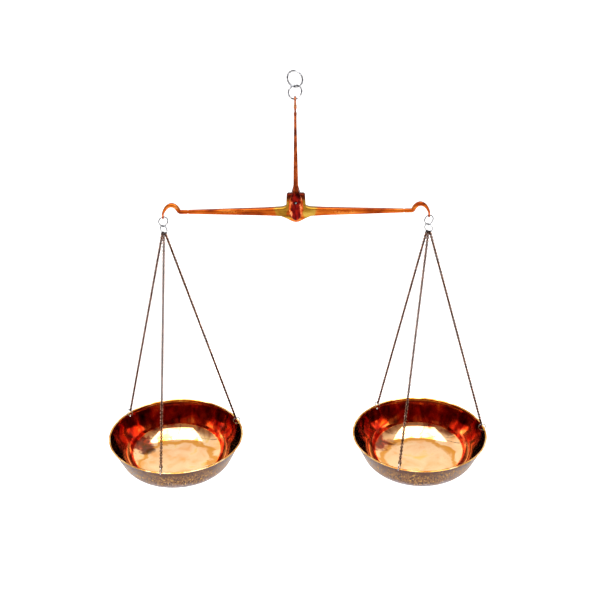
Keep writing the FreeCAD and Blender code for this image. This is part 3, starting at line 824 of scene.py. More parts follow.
@dataclass(frozen=True)
class SpunBrassInside:
    """The inside of a hand-spun pan: a floor worn bright by use with a painted bright reflection, in a side
    of deep red tarnish with a painted dark red reflection.
    """

    side: Side
    centre: Vector
    rim_z: float
    floor_radius: float = 41.0 * MM
    side_radius: float = 47.5 * MM
    wander: float = 4.0 * MM            # how far the floor's edge strays
    floor_wear_and_painted_reflection_stops: tuple[tuple[float, str], ...] = (
        (0.3, "#F0A860"), (0.45, "#F6C08A"), (0.6, "#F8CC98"), (0.75, "#F4C068"),
    )
    side_tarnish_and_painted_reflection_stops: tuple[tuple[float, str], ...] = (
        (0.28, "#3E1016"), (0.42, "#7C1C14"), (0.56, "#A02E16"), (0.7, "#BC6020"),
    )
    painted_orange_ring: str = "#D88A1C"              # painted reflection: an orange ring where the floor turns up
    painted_orange_ring_radius: float = 30.5 * MM
    painted_orange_ring_reach: float = 4.0 * MM
    painted_dark_patch_stops: tuple[tuple[float, str], ...] = (
        (0.3, "#2A0A0C"), (0.45, "#6E1210"), (0.58, "#B42A10"), (0.7, "#D88A3A"),
    )
    painted_dark_patch_place: tuple[float, float] = (-34.0 * MM, 25.0 * MM)  # a painted reflection of something dark, back left on the side
    painted_dark_patch_radius: float = 15.0 * MM
    painted_dark_patch_wander: float = 5.0 * MM
    ring: float = 0.9 * MM      # spinning lines, drawn coarser than the real ones
    cloud: float = 14.0 * MM
    blotch: float = 9.0 * MM
    dish: float = 150.0 * MM    # the floor is spun very slightly hollow, to about this radius
    scratch: float = 0.7 * MM
    relief: float = 0.005 * MM
    polish: tuple[float, float] = (0.04, 0.12)

    def distance(self, shades: Shades, x: float, y: float) -> bpy.types.NodeSocket:
        """Level distance from a place given from the pan's middle."""
        middle = Vector((-self.centre.x - x, -self.centre.y - y, 0.0))
        moved = shades.add("ShaderNodeMapping", {"Vector": shades.place, "Location": middle})
        level = shades.add(
            "ShaderNodeVectorMath", {0: moved.outputs[0], 1: (1.0, 1.0, 0.0)}, operation="MULTIPLY"
        )
        return shades.add("ShaderNodeVectorMath", {0: level.outputs[0]}, operation="LENGTH").outputs["Value"]

    def build(self) -> bpy.types.Material:
        """Build the material.

        Returns:
            The finish for one pan's inside, centred on that pan.
        """
        shades = Shades("spun_brass_inside_" + self.side.word)
        radius = self.distance(shades, 0.0, 0.0)
        clouds = shades.noise(self.cloud, 4.0, (1.0, 1.0, 1.0), 0.6)
        blotches = shades.noise(self.blotch, 3.0, (1.0, 1.0, 1.0), 0.3)
        wander = shades.span(clouds, 0.2, 0.8, -self.wander, self.wander)
        ragged = shades.sums("ADD", radius, wander)
        # the bright peach floor and the deep red side are partly wear and tarnish, partly a painted
        # reflection of the bowl in itself
        up_the_side = shades.span(ragged, self.floor_radius, self.side_radius)
        colour = shades.blend(
            up_the_side, shades.ramp(clouds, self.floor_wear_and_painted_reflection_stops), shades.ramp(blotches, self.side_tarnish_and_painted_reflection_stops)
        )
        # painted reflection: an orange ring where the floor turns up into the side
        near_ring = shades.sums("ABSOLUTE", shades.sums("SUBTRACT", ragged, self.painted_orange_ring_radius), 0.0)
        ring = shades.span(near_ring, self.painted_orange_ring_reach * 0.25, self.painted_orange_ring_reach, 0.85, 0.0)
        colour = shades.blend(ring, colour, self.painted_orange_ring)
        # painted reflection: a dark red patch, back left on the side
        from_painted_dark_patch = shades.sums(
            "ADD", self.distance(shades, *self.painted_dark_patch_place),
            shades.follow(blotches, -self.painted_dark_patch_wander, self.painted_dark_patch_wander),
        )
        painted_dark_patch_share = shades.span(from_painted_dark_patch, self.painted_dark_patch_radius * 0.5, self.painted_dark_patch_radius, 0.9, 0.0)
        colour = shades.blend(painted_dark_patch_share, colour, shades.ramp(blotches, self.painted_dark_patch_stops))
        rings = shades.add("ShaderNodeTexNoise", {
            "W": radius, "Scale": 1 / self.ring, "Detail": 2.0,
        }, noise_dimensions="1D").outputs[0]
        scratches = shades.noise(self.scratch, 2.0, (1.0, 0.12, 1.0), 0.5)
        relief = shades.sums(
            "ADD", shades.sums("MULTIPLY", rings, 0.6), shades.sums("MULTIPLY", scratches, 0.4)
        )
        hollow = shades.sums("DIVIDE", shades.sums("POWER", radius, 2.0), 2 * self.dish)
        shades.bump(shades.sums("ADD", hollow, shades.sums("MULTIPLY", relief, self.relief)), 1.0)
        colour = LipBrass().over(shades, self.rim_z, colour)
        return shades.wear(colour, shades.follow(clouds, *self.polish))


@dataclass(frozen=True)
class SpunBrassOutside:
    """The outside of a hand-spun pan: never polished, speckled brown and grey, with old gold between; the
    grey low down is partly a painted reflection of the floor, and a painted shadow lies under the lip.
    """

    side: Side
    rim_z: float
    depth: float = 28.5 * MM
    stops: tuple[tuple[float, str], ...] = (
        (0.32, "#140A06"), (0.43, "#3E2010"), (0.51, "#7A4E1A"), (0.58, "#5A4438"), (0.7, "#C89A3C"),
    )
    low_grey_and_painted_reflection_stops: tuple[tuple[float, str], ...] = (
        (0.32, "#2E2A2C"), (0.46, "#56525A"), (0.56, "#787480"), (0.72, "#A8A4B2"),
    )
    painted_shadow_under_lip: str = "#3A1608"
    speck: float = 1.2 * MM     # tarnish speckle, drawn a little coarser to show
    drawn: float = 0.3          # specks are drawn out down the side
    cloud: float = 9.0 * MM
    wander: float = 4.0 * MM    # how far the bands' edges stray up and down
    relief: float = 0.03 * MM
    polish: tuple[float, float] = (0.3, 0.55)

    def build(self) -> bpy.types.Material:
        """Build the material.

        Returns:
            The finish for a pan's outside.
        """
        shades = Shades("spun_brass_outside_" + self.side.word)
        specks = shades.noise(self.speck, 5.0, (1.0, 1.0, self.drawn), 0.15)
        clouds = shades.noise(self.cloud, 3.0)
        wander = shades.span(clouds, 0.2, 0.8, -self.wander, self.wander)
        ragged = shades.sums("ADD", shades.height(), wander)
        # grey low down: partly tarnish, partly a painted reflection of the floor
        low = shades.span(ragged, self.rim_z - self.depth, self.rim_z - self.depth * 0.55, 1.0, 0.0)
        colour = shades.blend(low, shades.ramp(specks, self.stops), shades.ramp(specks, self.low_grey_and_painted_reflection_stops))
        # painted shadow: the wall is darkened just under the lip
        shadow_low, shadow_high = self.rim_z - self.depth * 0.4, self.rim_z - self.depth * 0.08
        shadow = shades.span(ragged, shadow_low, shadow_high, 0.0, 0.85)
        colour = shades.blend(shadow, colour, self.painted_shadow_under_lip)
        shades.bump(specks, self.relief)
        colour = LipBrass().over(shades, self.rim_z, colour)
        return shades.wear(colour, shades.follow(specks, *self.polish))


@dataclass(frozen=True)
class ChainBrass:
    """Drawn brass wire links, black-brown with age, every other one painted a pale copper as lit, with some
    wear by chance.
    """

    name: str = "oxidised_chain_brass"
    dark_stops: tuple[tuple[float, str], ...] = ((0.3, "#0C0604"), (0.5, "#1E0E08"), (0.7, "#44241A"))
    pale_stops: tuple[tuple[float, str], ...] = ((0.3, "#3C2218"), (0.48, "#7A503C"), (0.68, "#C8A088"))
    patch: float = 1.5 * MM
    polish: tuple[float, float] = (0.2, 0.42)

    def build(self) -> bpy.types.Material:
        """Build the material.

        Returns:
            The finish for the chains.
        """
        shades = Shades(self.name)
        patches = shades.noise(self.patch, 3.0)
        # painted light and shade: the pale copper stands for lit links, the dark for shaded ones
        rubbed = shades.add("ShaderNodeAttribute", attribute_name=LIT_AND_RUBBED).outputs["Fac"]
        colour = shades.blend(
            shades.span(rubbed, 0.1, 0.9), shades.ramp(patches, self.dark_stops),
            shades.ramp(patches, self.pale_stops),
        )
        return shades.wear(colour, shades.follow(patches, *self.polish))


@dataclass(frozen=True)
class Steel:
    """Bright steel: grey, with faint darker patches where fingers have dulled it."""

    name: str
    stops: tuple[tuple[float, str], ...] = ((0.3, "#2C2E32"), (0.48, "#66686C"), (0.66, "#B4B6B8"))
    patch: float = 1.8 * MM
    grain: float = 0.3 * MM     # drawing or grinding lines, drawn coarser to show
    stretch: tuple[float, float, float] = (1.0, 1.0, 1.0)
    relief: float = 0.008 * MM
    polish: tuple[float, float] = (0.16, 0.34)

    def build(self) -> bpy.types.Material:
        """Build the material.

        Returns:
            The finish for wire and for the knife edge.
        """
        shades = Shades(self.name)
        patches = shades.noise(self.patch, 3.0)
        lines = shades.noise(self.grain, 1.0, self.stretch)
        shades.bump(lines, self.relief)
        return shades.wear(shades.ramp(patches, self.stops), shades.follow(lines, *self.polish))


@dataclass(frozen=True)
class PaperFloor:
    """Matt white background paper, with a faint tooth."""

    name: str = "background_paper"
    stops: tuple[tuple[float, str], ...] = ((0.3, "#FBFAF9"), (0.7, "#FEFEFD"))
    glow: float = 0.25          # it shines a little itself, so that it stays white far back
    cloud: float = 60.0 * MM

    def build(self) -> bpy.types.Material:
        """Build the material.

        Returns:
            The finish for the floor.
        """
        shades = Shades(self.name)
        tooth = shades.noise(self.cloud, 2.0)
        shades.shader.inputs["Emission Color"].default_value = linear("#FFFFFF")
        shades.shader.inputs["Emission Strength"].default_value = self.glow
        return shades.wear(shades.ramp(tooth, self.stops), shades.span(tooth, 0.0, 1.0, 0.85, 0.95), 0.0)


# ---- wire rings and links -------------------------------------------------------------------


class WireShop:
    """Bends every ring and link of the balance from the two wire recipes."""

    JOINT = 0.1 * MM            # the gap where a ring's ends meet
    SEGMENTS = 72
    SIDES = 14

    def __init__(self) -> None:
        """Prepare the recipes."""
        self.rings = ring_recipe()
        self.bends = link_recipe()

    def ring(
        self, name: str, centre: Vector, normal: Vector, radius: float, wire: float,
        finish: bpy.types.Material, joint_at_degrees: Optional[float], segments: int = SEGMENTS,
        sides: int = SIDES,
    ) -> bpy.types.Object:
        """Bend one round ring.

        Args:
            name: The piece's name.
            centre: Its middle.
            normal: Square to its plane.
            radius: Of the wire's centre.
            wire: The wire's diameter.
            finish: Its material.
            joint_at_degrees: Where the ends meet, from the ring's top; None closes the ring.
            segments: Points round the ring.
            sides: Points round the wire.

        Returns:
            The ring.
        """
        across = normal.normalized()
        top = (UP - across * UP.dot(across)).normalized()
        turn = Matrix((top, across.cross(top), across)).transposed().to_euler()
        gap = 0.0 if joint_at_degrees is None else self.JOINT / radius
        piece = self.rings.grow(name, {
            "Radius": radius, "Wire": wire / 2, "Start": math.radians(joint_at_degrees or 0.0) + gap / 2,
            "Sweep": FULL_TURN - gap, "Place": centre, "Turn": tuple(turn), "Segments": segments,
            "Sides": sides, "Finish": finish,
        })
        tidy_surface(piece, 40.0)
        return piece

    def bend(
        self, name: str, path: Sequence[Vector], wire: float, finish: bpy.types.Material
    ) -> bpy.types.Object:
        """Bend wire along a path whose two ends stay open.

        Args:
            name: The piece's name.
            path: The wire's centre line.
            wire: The wire's diameter.
            finish: Its material.

        Returns:
            The bent wire.
        """
        mesh = bpy.data.meshes.new(name)
        mesh.from_pydata(path, [(i, i + 1) for i in range(len(path) - 1)], [])
        piece = self.bends.grow(
            name, {"Wire": wire / 2, "Sides": self.SIDES, "Finish": finish}, make_object(name, mesh)
        )
        tidy_surface(piece, 40.0)
        return piece


def report(piece: bpy.types.Object, body: str, nodes: Sequence[str]) -> None:
    """Hand a finished piece to the frame and log it.

    Args:
        piece: The piece, at the origin with no modifiers.
        body: The CAD body that it rides on.
        nodes: The CAD nodes that it stands for.
    """
    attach(piece, body)
    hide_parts(*nodes)
    piece.data.calc_loop_triangles()
    log.info("%-26s %-14s %6d triangles", piece.name, body, len(piece.data.loop_triangles))


def dress_node(node: str, finish: bpy.types.Material) -> None:
    """Give a CAD node that stays as it is a better material."""
    piece = frame["nodes"][node]
    if not piece.material_slots:
        piece.data.materials.append(finish)
    for place in piece.material_slots:
        place.material = finish


# ---- sub-assemblies -------------------------------------------------------------------------


@dataclass
class Suspension:
    """The two steel rings that the balance hangs by."""

    wires: WireShop
    steel: bpy.types.Material
    top_radius: float = 6.05 * MM
    top_wire: float = 1.3 * MM
    top_turn: float = -25.0
    hanger_radius: float = 5.2 * MM
    hanger_wire: float = 1.2 * MM
    hanger_turn: float = 22.0

    def build(self) -> None:
        """Bend both rings and hand them over."""
        top = self.wires.ring(
            "top_ring_bent_wire", box_middle("top_ring"), turned(self.top_turn + 90), self.top_radius,
            self.top_wire, self.steel, 118.0,
        )
        report(top, "holder", ["top_ring"])
        hanger = self.wires.ring(
            "hanger_ring_bent_wire", box_middle("hanger_ring"), turned(self.hanger_turn + 90),
            self.hanger_radius, self.hanger_wire, self.steel, -75.0,
        )
        report(hanger, "hanger", ["hanger_ring"])


@dataclass
class Shears:
    """The turned stem with its eye, and the two tines that end in domed cheeks."""

    wires: WireShop
    cheek_finish: bpy.types.Material
    turned_finish: bpy.types.Material
    eye_radius: float = 1.85 * MM
    eye_wire: float = 1.5 * MM
    # (share of the way down from the eye to the tang, diameter)
    turning: tuple[tuple[float, float], ...] = (
        (0.0, 1.7 * MM), (0.16, 1.62 * MM), (0.24, 1.8 * MM), (0.3, 2.15 * MM), (0.36, 2.3 * MM),
        (0.44, 2.3 * MM), (0.5, 2.12 * MM), (0.56, 1.6 * MM), (0.64, 1.42 * MM), (0.72, 1.4 * MM),
        (0.79, 1.6 * MM), (0.83, 2.15 * MM), (0.86, 2.3 * MM), (0.97, 2.3 * MM), (1.0, 2.2 * MM),
    )
    tang_length: float = 7.0 * MM
    tang_width: float = 1.9 * MM
    tang_thickness: float = 1.5 * MM
    cheek_gap: float = 2.8 * MM         # from the middle to a cheek's inner face
    top_thickness: float = 0.9 * MM
    foot_thickness: float = 1.3 * MM
    foot_width: float = 3.7 * MM
    flare_width: float = 6.4 * MM
    cheek_width: float = 10.9 * MM
    cheek_height: float = 22.8 * MM
    cheek_thickness: float = 2.4 * MM
    cheek_edge: float = 0.85 * MM
    flare_above: float = 3.0 * MM       # the tine starts to widen this far above its cheek
    flare_below: float = 2.3 * MM       # and is full width this far under the cheek's top
    tine_above: float = 4.0 * MM        # the tine's wide-spaced rows end this far above its cheek
    tip_rows: tuple[float, float] = (0.02 * MM, 0.12 * MM)  # the lowest rows, above the cheek's foot
    swell_length: float = 7.0 * MM      # over which the flat tine turns to a domed cheek
    bevel: float = 0.2 * MM
    hole_radius: float = 1.35 * MM
    hole_above_pivot: float = 1.32 * MM

    def build(self) -> None:
        """Build and dress the stem and both tines; the rivet keeps its CAD shape."""
        self.build_stem()
        for way, node in ((-1, "front_tine"), (1, "rear_tine")):
            self.build_tine(way, node)
        dress_node("tine_rivet", self.turned_finish)

    def build_stem(self) -> None:
        """Turn the stem, and fuse its eye and tang to it."""
        low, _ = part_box("shears_stem")
        eye_top = joint_at("shears_swing")
        eye_centre = eye_top - UP * self.eye_radius
        top_z = eye_centre.z - self.eye_radius + self.eye_wire / 4
        tang_top = low.z + self.tang_length
        rows = []
        steps = 60
        for i in range(steps + 1):
            share = i / steps
            width = interpolated(self.turning, share)
            centre = UP * (top_z + (tang_top - top_z) * share)
            rows.append(rounded_row(centre, BACK, RIGHT, width, width, 2.0, 28))
        stem = loft("shears_stem_turned", rows)
        eye = self.wires.ring(
            "eye", eye_centre, RIGHT, self.eye_radius, self.eye_wire, self.turned_finish, None, 40, 16
        )
        cut_or_fuse(stem, eye, "UNION")
        over = 0.4 * MM
        tang_rows = [
            rounded_row(UP * z, RIGHT, BACK, self.tang_width, self.tang_thickness, 8.0)
            for z in (tang_top + over, low.z)
        ]
        cut_or_fuse(stem, loft("tang", tang_rows), "UNION")
        dress(stem, self.turned_finish)
        tidy_surface(stem, 38.0)
        report(stem, "shears", ["shears_stem"])

    def tine_row(self, z: float, way: int, tang_end: float, cheek_top: float) -> list[Vector]:
        """One level row round a tine.

        Args:
            z: The row's height.
            way: -1 for the front tine, 1 for the rear one.
            tang_end: Height of the tang's end.
            cheek_top: Height of the cheek's top.

        Returns:
            The row's points: along the flat inner face, then back over the crowned outer one.
        """
        flare_start = cheek_top + self.flare_above
        flare_end = cheek_top - self.flare_below
        heights = [flare_end, flare_start, tang_end]
        width = interpolated(list(zip(heights, [self.flare_width, self.foot_width, self.tang_width])), z)
        inside = interpolated(
            list(zip(heights[1:], [self.cheek_gap, self.tang_thickness / 2])), z
        )
        edge = interpolated(list(zip(heights[1:], [self.foot_thickness, self.top_thickness])), z)
        half_height = self.cheek_height / 2
        share = (z - (cheek_top - half_height)) / half_height
        oval = math.sqrt(max(0.0, 1 - share * share)) * self.cheek_width
        in_cheek = z < flare_end
        half = (oval if in_cheek else max(width, oval)) / 2
        swell = min(1.0, max(0.0, (flare_start - z) / self.swell_length))
        swell = swell * swell * (3 - 2 * swell)
        round_off = max(0.0, 1 - share * share) ** 0.35 if share < 0 else 1.0
        crown = edge + (self.cheek_thickness - edge) * swell * round_off
        rim = edge * 0.8 + (self.cheek_edge - edge * 0.8) * swell
        bevel = min(self.bevel, half * 0.3)
        across = [-1.0, -0.5, 0.0, 0.5, 1.0]
        row = [Vector((x * (half - bevel), way * inside, z)) for x in across]
        row.append(Vector((half, way * (inside + bevel), z)))
        steps = 14
        for i in range(steps + 1):
            x = 1 - 2 * i / steps
            dome = (1 - x * x) ** 0.75
            row.append(Vector((x * half, way * (inside + rim + (crown - rim) * dome), z)))
        row.append(Vector((-half, way * (inside + bevel), z)))
        return row

    def build_tine(self, way: int, node: str) -> None:
        """Forge one tine with its cheek and drill the hole that the knife edge rocks in."""
        low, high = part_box(node)
        tang_end = high.z - self.tang_length
        cheek_top = low.z + self.cheek_height
        levels = [high.z, high.z - self.bevel]
        steps = 14
        tine_foot = cheek_top + self.tine_above
        levels += [tang_end + (tine_foot - tang_end) * i / steps for i in range(steps + 1)]
        steps = 46
        bottom = low.z + self.tip_rows[0]
        levels += [
            cheek_top + self.flare_above + (bottom - cheek_top - self.flare_above) * i / steps
            for i in range(steps)
        ]
        levels += [low.z + self.tip_rows[1], bottom]
        rows = [self.tine_row(z, way, tang_end, cheek_top) for z in sorted(set(levels), reverse=True)]
        tine = loft(node + "_forged", rows, 50.0)
        pivot = joint_at("beam_tilt")
        drill_rows = [
            rounded_row(
                Vector((0.0, way * y, pivot.z + self.hole_above_pivot)), UP, RIGHT,
                self.hole_radius * 2, self.hole_radius * 2, 2.0, 28,
            )
            for y in (self.cheek_gap - self.cheek_thickness, self.cheek_gap + 2 * self.cheek_thickness)
        ]
        cut_or_fuse(tine, loft("drill", drill_rows), "DIFFERENCE")
        dress(tine, self.cheek_finish)
        tidy_surface(tine, 50.0)
        report(tine, "shears", [node])


@dataclass
class PunchBand:
    """One band of decorative punch marks on the front of an arm."""

    start: float
    end: float
    count: int
    radius: float
    lean: float
    sway: float
    slim: float


@dataclass
class BalanceBeam:
    """The forged beam: boss and keel, tapering arms, swan necks and hook eyes."""

    wires: WireShop
    cast: bpy.types.Material
    knife: bpy.types.Material
    span: float = 203.0 * MM
    pivot_above_hooks: float = 11.5 * MM
    boss_top_above_pivot: float = 7.5 * MM
    boss_shoulder: float = 7.05 * MM
    boss_foot: float = 7.45 * MM
    boss_depth: float = 5.0 * MM
    boss_corner: float = 1.6 * MM
    keel_below_pivot: float = 16.6 * MM
    keel_half_width: float = 11.5 * MM
    arm_above_hooks: float = 3.9 * MM
    fillet_height: float = 1.2 * MM     # of the forging between the boss and the arm
    fillet_length: float = 4.5 * MM
    keel_run_out: float = 2.5 * MM      # how far past its half width the keel fades into the arm
    keel_round: float = 0.35 * MM
    # how far out the close rows over the boss and keel lie, in millimetres
    close_rows: tuple[float, ...] = (
        0.5, 1.2, 2.0, 3.0, 4.0, 5.0, 5.45, 5.8, 6.15, 6.5, 6.75, 6.95, 7.05, 7.2, 7.45, 7.8, 8.3, 8.9,
        9.6, 10.5, 11.5, 12.6, 14.0, 16.0, 19.0,
    )
    # (out from the middle, height, depth)
    arm_root: tuple[float, float, float] = (7.45 * MM, 7.6 * MM, 4.9 * MM)
    arm_knee: tuple[float, float, float] = (22.0 * MM, 6.0 * MM, 4.4 * MM)
    arm_end: tuple[float, float, float] = (81.9 * MM, 2.9 * MM, 2.7 * MM)
    groove: float = 0.35 * MM
    collar_length: float = 5.6 * MM
    collar_from_eye: float = 13.3 * MM
    neck_rise: float = 5.6 * MM
    # (share of the way out, share of the rise, heading in degrees, height, depth)
    neck_course: tuple[tuple[float, float, float, float, float], ...] = (
        (0.0, 0.0, 8.5, 2.9 * MM, 2.7 * MM),
        (0.13, 0.42, 60.0, 3.3 * MM, 3.2 * MM),
        (0.48, 1.0, 0.0, 3.3 * MM, 3.2 * MM),
        (0.83, 0.5, -56.0, 2.5 * MM, 2.4 * MM),
    )
    neck_tip: float = 1.55 * MM
    eye_radius: float = 1.4 * MM
    eye_wire: float = 1.3 * MM
    punch_proud: float = 0.25 * MM      # how far the punch's base stands off the metal
    punch_length: float = 0.85 * MM
    bands: tuple[PunchBand, ...] = (
        PunchBand(-56.0 * MM, -28.5 * MM, 15, 0.95 * MM, 0.55, 0.3 * MM, 0.5),
        PunchBand(28.5 * MM, 43.0 * MM, 6, 0.8 * MM, 0.4, 0.25 * MM, 0.7),
    )

    def __post_init__(self) -> None:
        """Take the beam's levels from its pivot."""
        self.pivot = joint_at("beam_tilt")
        self.hook_z = self.pivot.z - self.pivot_above_hooks
        self.arm_z = self.hook_z + self.arm_above_hooks

    def arm_size(self, x: float) -> tuple[float, float]:
        """An arm's height and depth at a distance from the middle."""
        stations = (self.arm_root, self.arm_knee, self.arm_end)
        return (
            interpolated([(s[0], s[1]) for s in stations], x),
            interpolated([(s[0], s[2]) for s in stations], x),
        )

    def outline(self, x: float) -> tuple[float, float]:
        """The beam's top and bottom at a distance from the middle, up to the collar."""
        height, _ = self.arm_size(x)
        top = self.arm_z + height / 2
        bottom = self.arm_z - height / 2
        boss_top = self.pivot.z + self.boss_top_above_pivot
        flat = self.boss_shoulder - self.boss_corner
        if x <= self.boss_shoulder:
            drop = max(0.0, x - flat)
            top = boss_top - self.boss_corner + math.sqrt(max(0.0, self.boss_corner ** 2 - drop ** 2))
        elif x <= self.boss_foot:
            share = (x - self.boss_shoulder) / (self.boss_foot - self.boss_shoulder)
            top = (boss_top - self.boss_corner) * (1 - share) + (top + self.fillet_height) * share
        else:
            # the forging's fillet between the boss and the arm
            reach = max(0.0, 1 - (x - self.boss_foot) / self.fillet_length)
            top += self.fillet_height * reach ** 2.2
        keel_z = self.pivot.z - self.keel_below_pivot
        side = min(1.0, x / (self.keel_half_width + self.keel_run_out))
        sweep = 0.5 - 0.5 * math.cos(math.pi * side ** 0.92)
        bottom_there = self.arm_z - self.arm_size(self.keel_half_width)[0] / 2
        keel = keel_z + self.keel_round + (bottom_there - keel_z) * sweep
        if x < self.keel_half_width + self.keel_run_out:
            bottom = min(bottom, keel)
        return top, bottom

    def middle_row(self, x: float, sign: int, shrink: float = 0.0) -> list[Vector]:
        """One upright row across the beam.

        Args:
            x: Distance from the middle.
            sign: -1 at the left, 1 at the right.
            shrink: How much the row is drawn in all round.

        Returns:
            The row's points.
        """
        top, bottom = self.outline(x)
        depth = self.boss_depth if x < self.boss_foot else self.arm_size(x)[1]
        if self.boss_foot <= x < self.keel_half_width:
            share = (x - self.boss_foot) / (self.keel_half_width - self.boss_foot)
            depth = self.boss_depth * (1 - share) + depth * share
        centre = Vector((sign * x, 0.0, (top + bottom) / 2))
        return rounded_row(centre, UP, BACK, top - bottom - 2 * shrink, depth - 2 * shrink, 5.5)

    def neck_rows(self, sign: int) -> list[list[Vector]]:
        """The rows of one swan neck, from the collar out to the hook eye."""
        collar_out = self.span / 2 - self.collar_from_eye
        stations = []
        for share, rise, heading, height, depth in self.neck_course:
            place = Vector((
                collar_out + self.collar_from_eye * share, 0.0, self.arm_z + self.neck_rise * rise
            ))
            stations.append((place, heading, height, depth))
        tip = Vector((self.span / 2, 0.0, self.hook_z + self.eye_radius))
        stations.append((tip, -90.0, self.neck_tip, self.neck_tip))
        rows = []
        steps = 9
        for (p, turn_p, high_p, deep_p), (q, turn_q, high_q, deep_q) in zip(stations, stations[1:]):
            reach = (q - p).length
            way_p, way_q = (
                Vector((math.cos(math.radians(t)), 0.0, math.sin(math.radians(t)))) * reach
                for t in (turn_p, turn_q)
            )
            for i in range(1, steps + 1):
                t = i / steps
                place = (
                    p * (2 * t ** 3 - 3 * t ** 2 + 1) + way_p * (t ** 3 - 2 * t ** 2 + t)
                    + q * (3 * t ** 2 - 2 * t ** 3) + way_q * (t ** 3 - t ** 2)
                )
                heading = (
                    p * (6 * t ** 2 - 6 * t) + way_p * (3 * t ** 2 - 4 * t + 1)
                    + q * (6 * t - 6 * t ** 2) + way_q * (3 * t ** 2 - 2 * t)
                ).normalized()
                across = Vector((-heading.z * sign, 0.0, heading.x))
                centre = Vector((place.x * sign, 0.0, place.z))
                height = high_p + (high_q - high_p) * t
                depth = deep_p + (deep_q - deep_p) * t
                rows.append(rounded_row(centre, across, BACK, height, depth, 3.2))
        return rows

    def half_rows(self, sign: int) -> list[list[Vector]]:
        """Every row of one half of the beam, from the middle out."""
        stops = [x * MM for x in self.close_rows]
        steps = 30
        knee, end = self.arm_knee[0], self.arm_end[0]
        stops += [knee + (end - knee) * i / steps for i in range(steps + 1)]
        rows = [self.middle_row(x, sign) for x in stops]
        collar_in = end + self.groove * 2
        edge = 0.08 * MM
        rows.append(self.middle_row(end + edge, sign, self.groove))
        rows.append(self.middle_row(collar_in - edge, sign, self.groove))
        rows += [self.middle_row(collar_in + self.collar_length * i / 4, sign) for i in range(5)]
        return rows + self.neck_rows(sign)

    def build(self) -> None:
        """Forge the beam, punch its bands and dress the knife edge and the pointer."""
        left = self.half_rows(-1)
        rows = left[::-1] + [self.middle_row(0.0, 1)] + self.half_rows(1)
        beam = loft("beam_forged", rows, 42.0)
        for sign in (-1, 1):
            eye = self.wires.ring(
                "eye", Vector((sign * self.span / 2, 0.0, self.hook_z)), RIGHT, self.eye_radius,
                self.eye_wire, self.cast, None, 40, 16,
            )
            cut_or_fuse(beam, eye, "UNION")
        recipe = punch_recipe()
        for band in self.bands:
            self.punch(beam, recipe, band)
        dress(beam, self.cast)
        tidy_surface(beam, 42.0)
        report(beam, "balance_beam", ["beam"])
        dress_node("knife_edge", self.knife)
        dress_node("pointer", self.cast)

    def punch(self, beam: bpy.types.Object, recipe: Recipe, band: PunchBand) -> None:
        """Strike one band of marks into the front of the beam.

        Args:
            beam: The beam.
            recipe: The punching recipe.
            band: Where the marks go and their shape.
        """
        ends = []
        for x in (band.start, band.end):
            depth = self.arm_size(abs(x))[1]
            ends.append(Vector((x, -depth / 2 - self.punch_proud, self.arm_z)))
        recipe.grow(beam.name, {
            "First": ends[0], "Last": ends[1], "Count": band.count, "Radius": band.radius,
            "Depth": self.punch_length,
            "Lean": band.lean, "Sway": band.sway, "Slim": band.slim, "Finish": self.cast,
        }, beam)


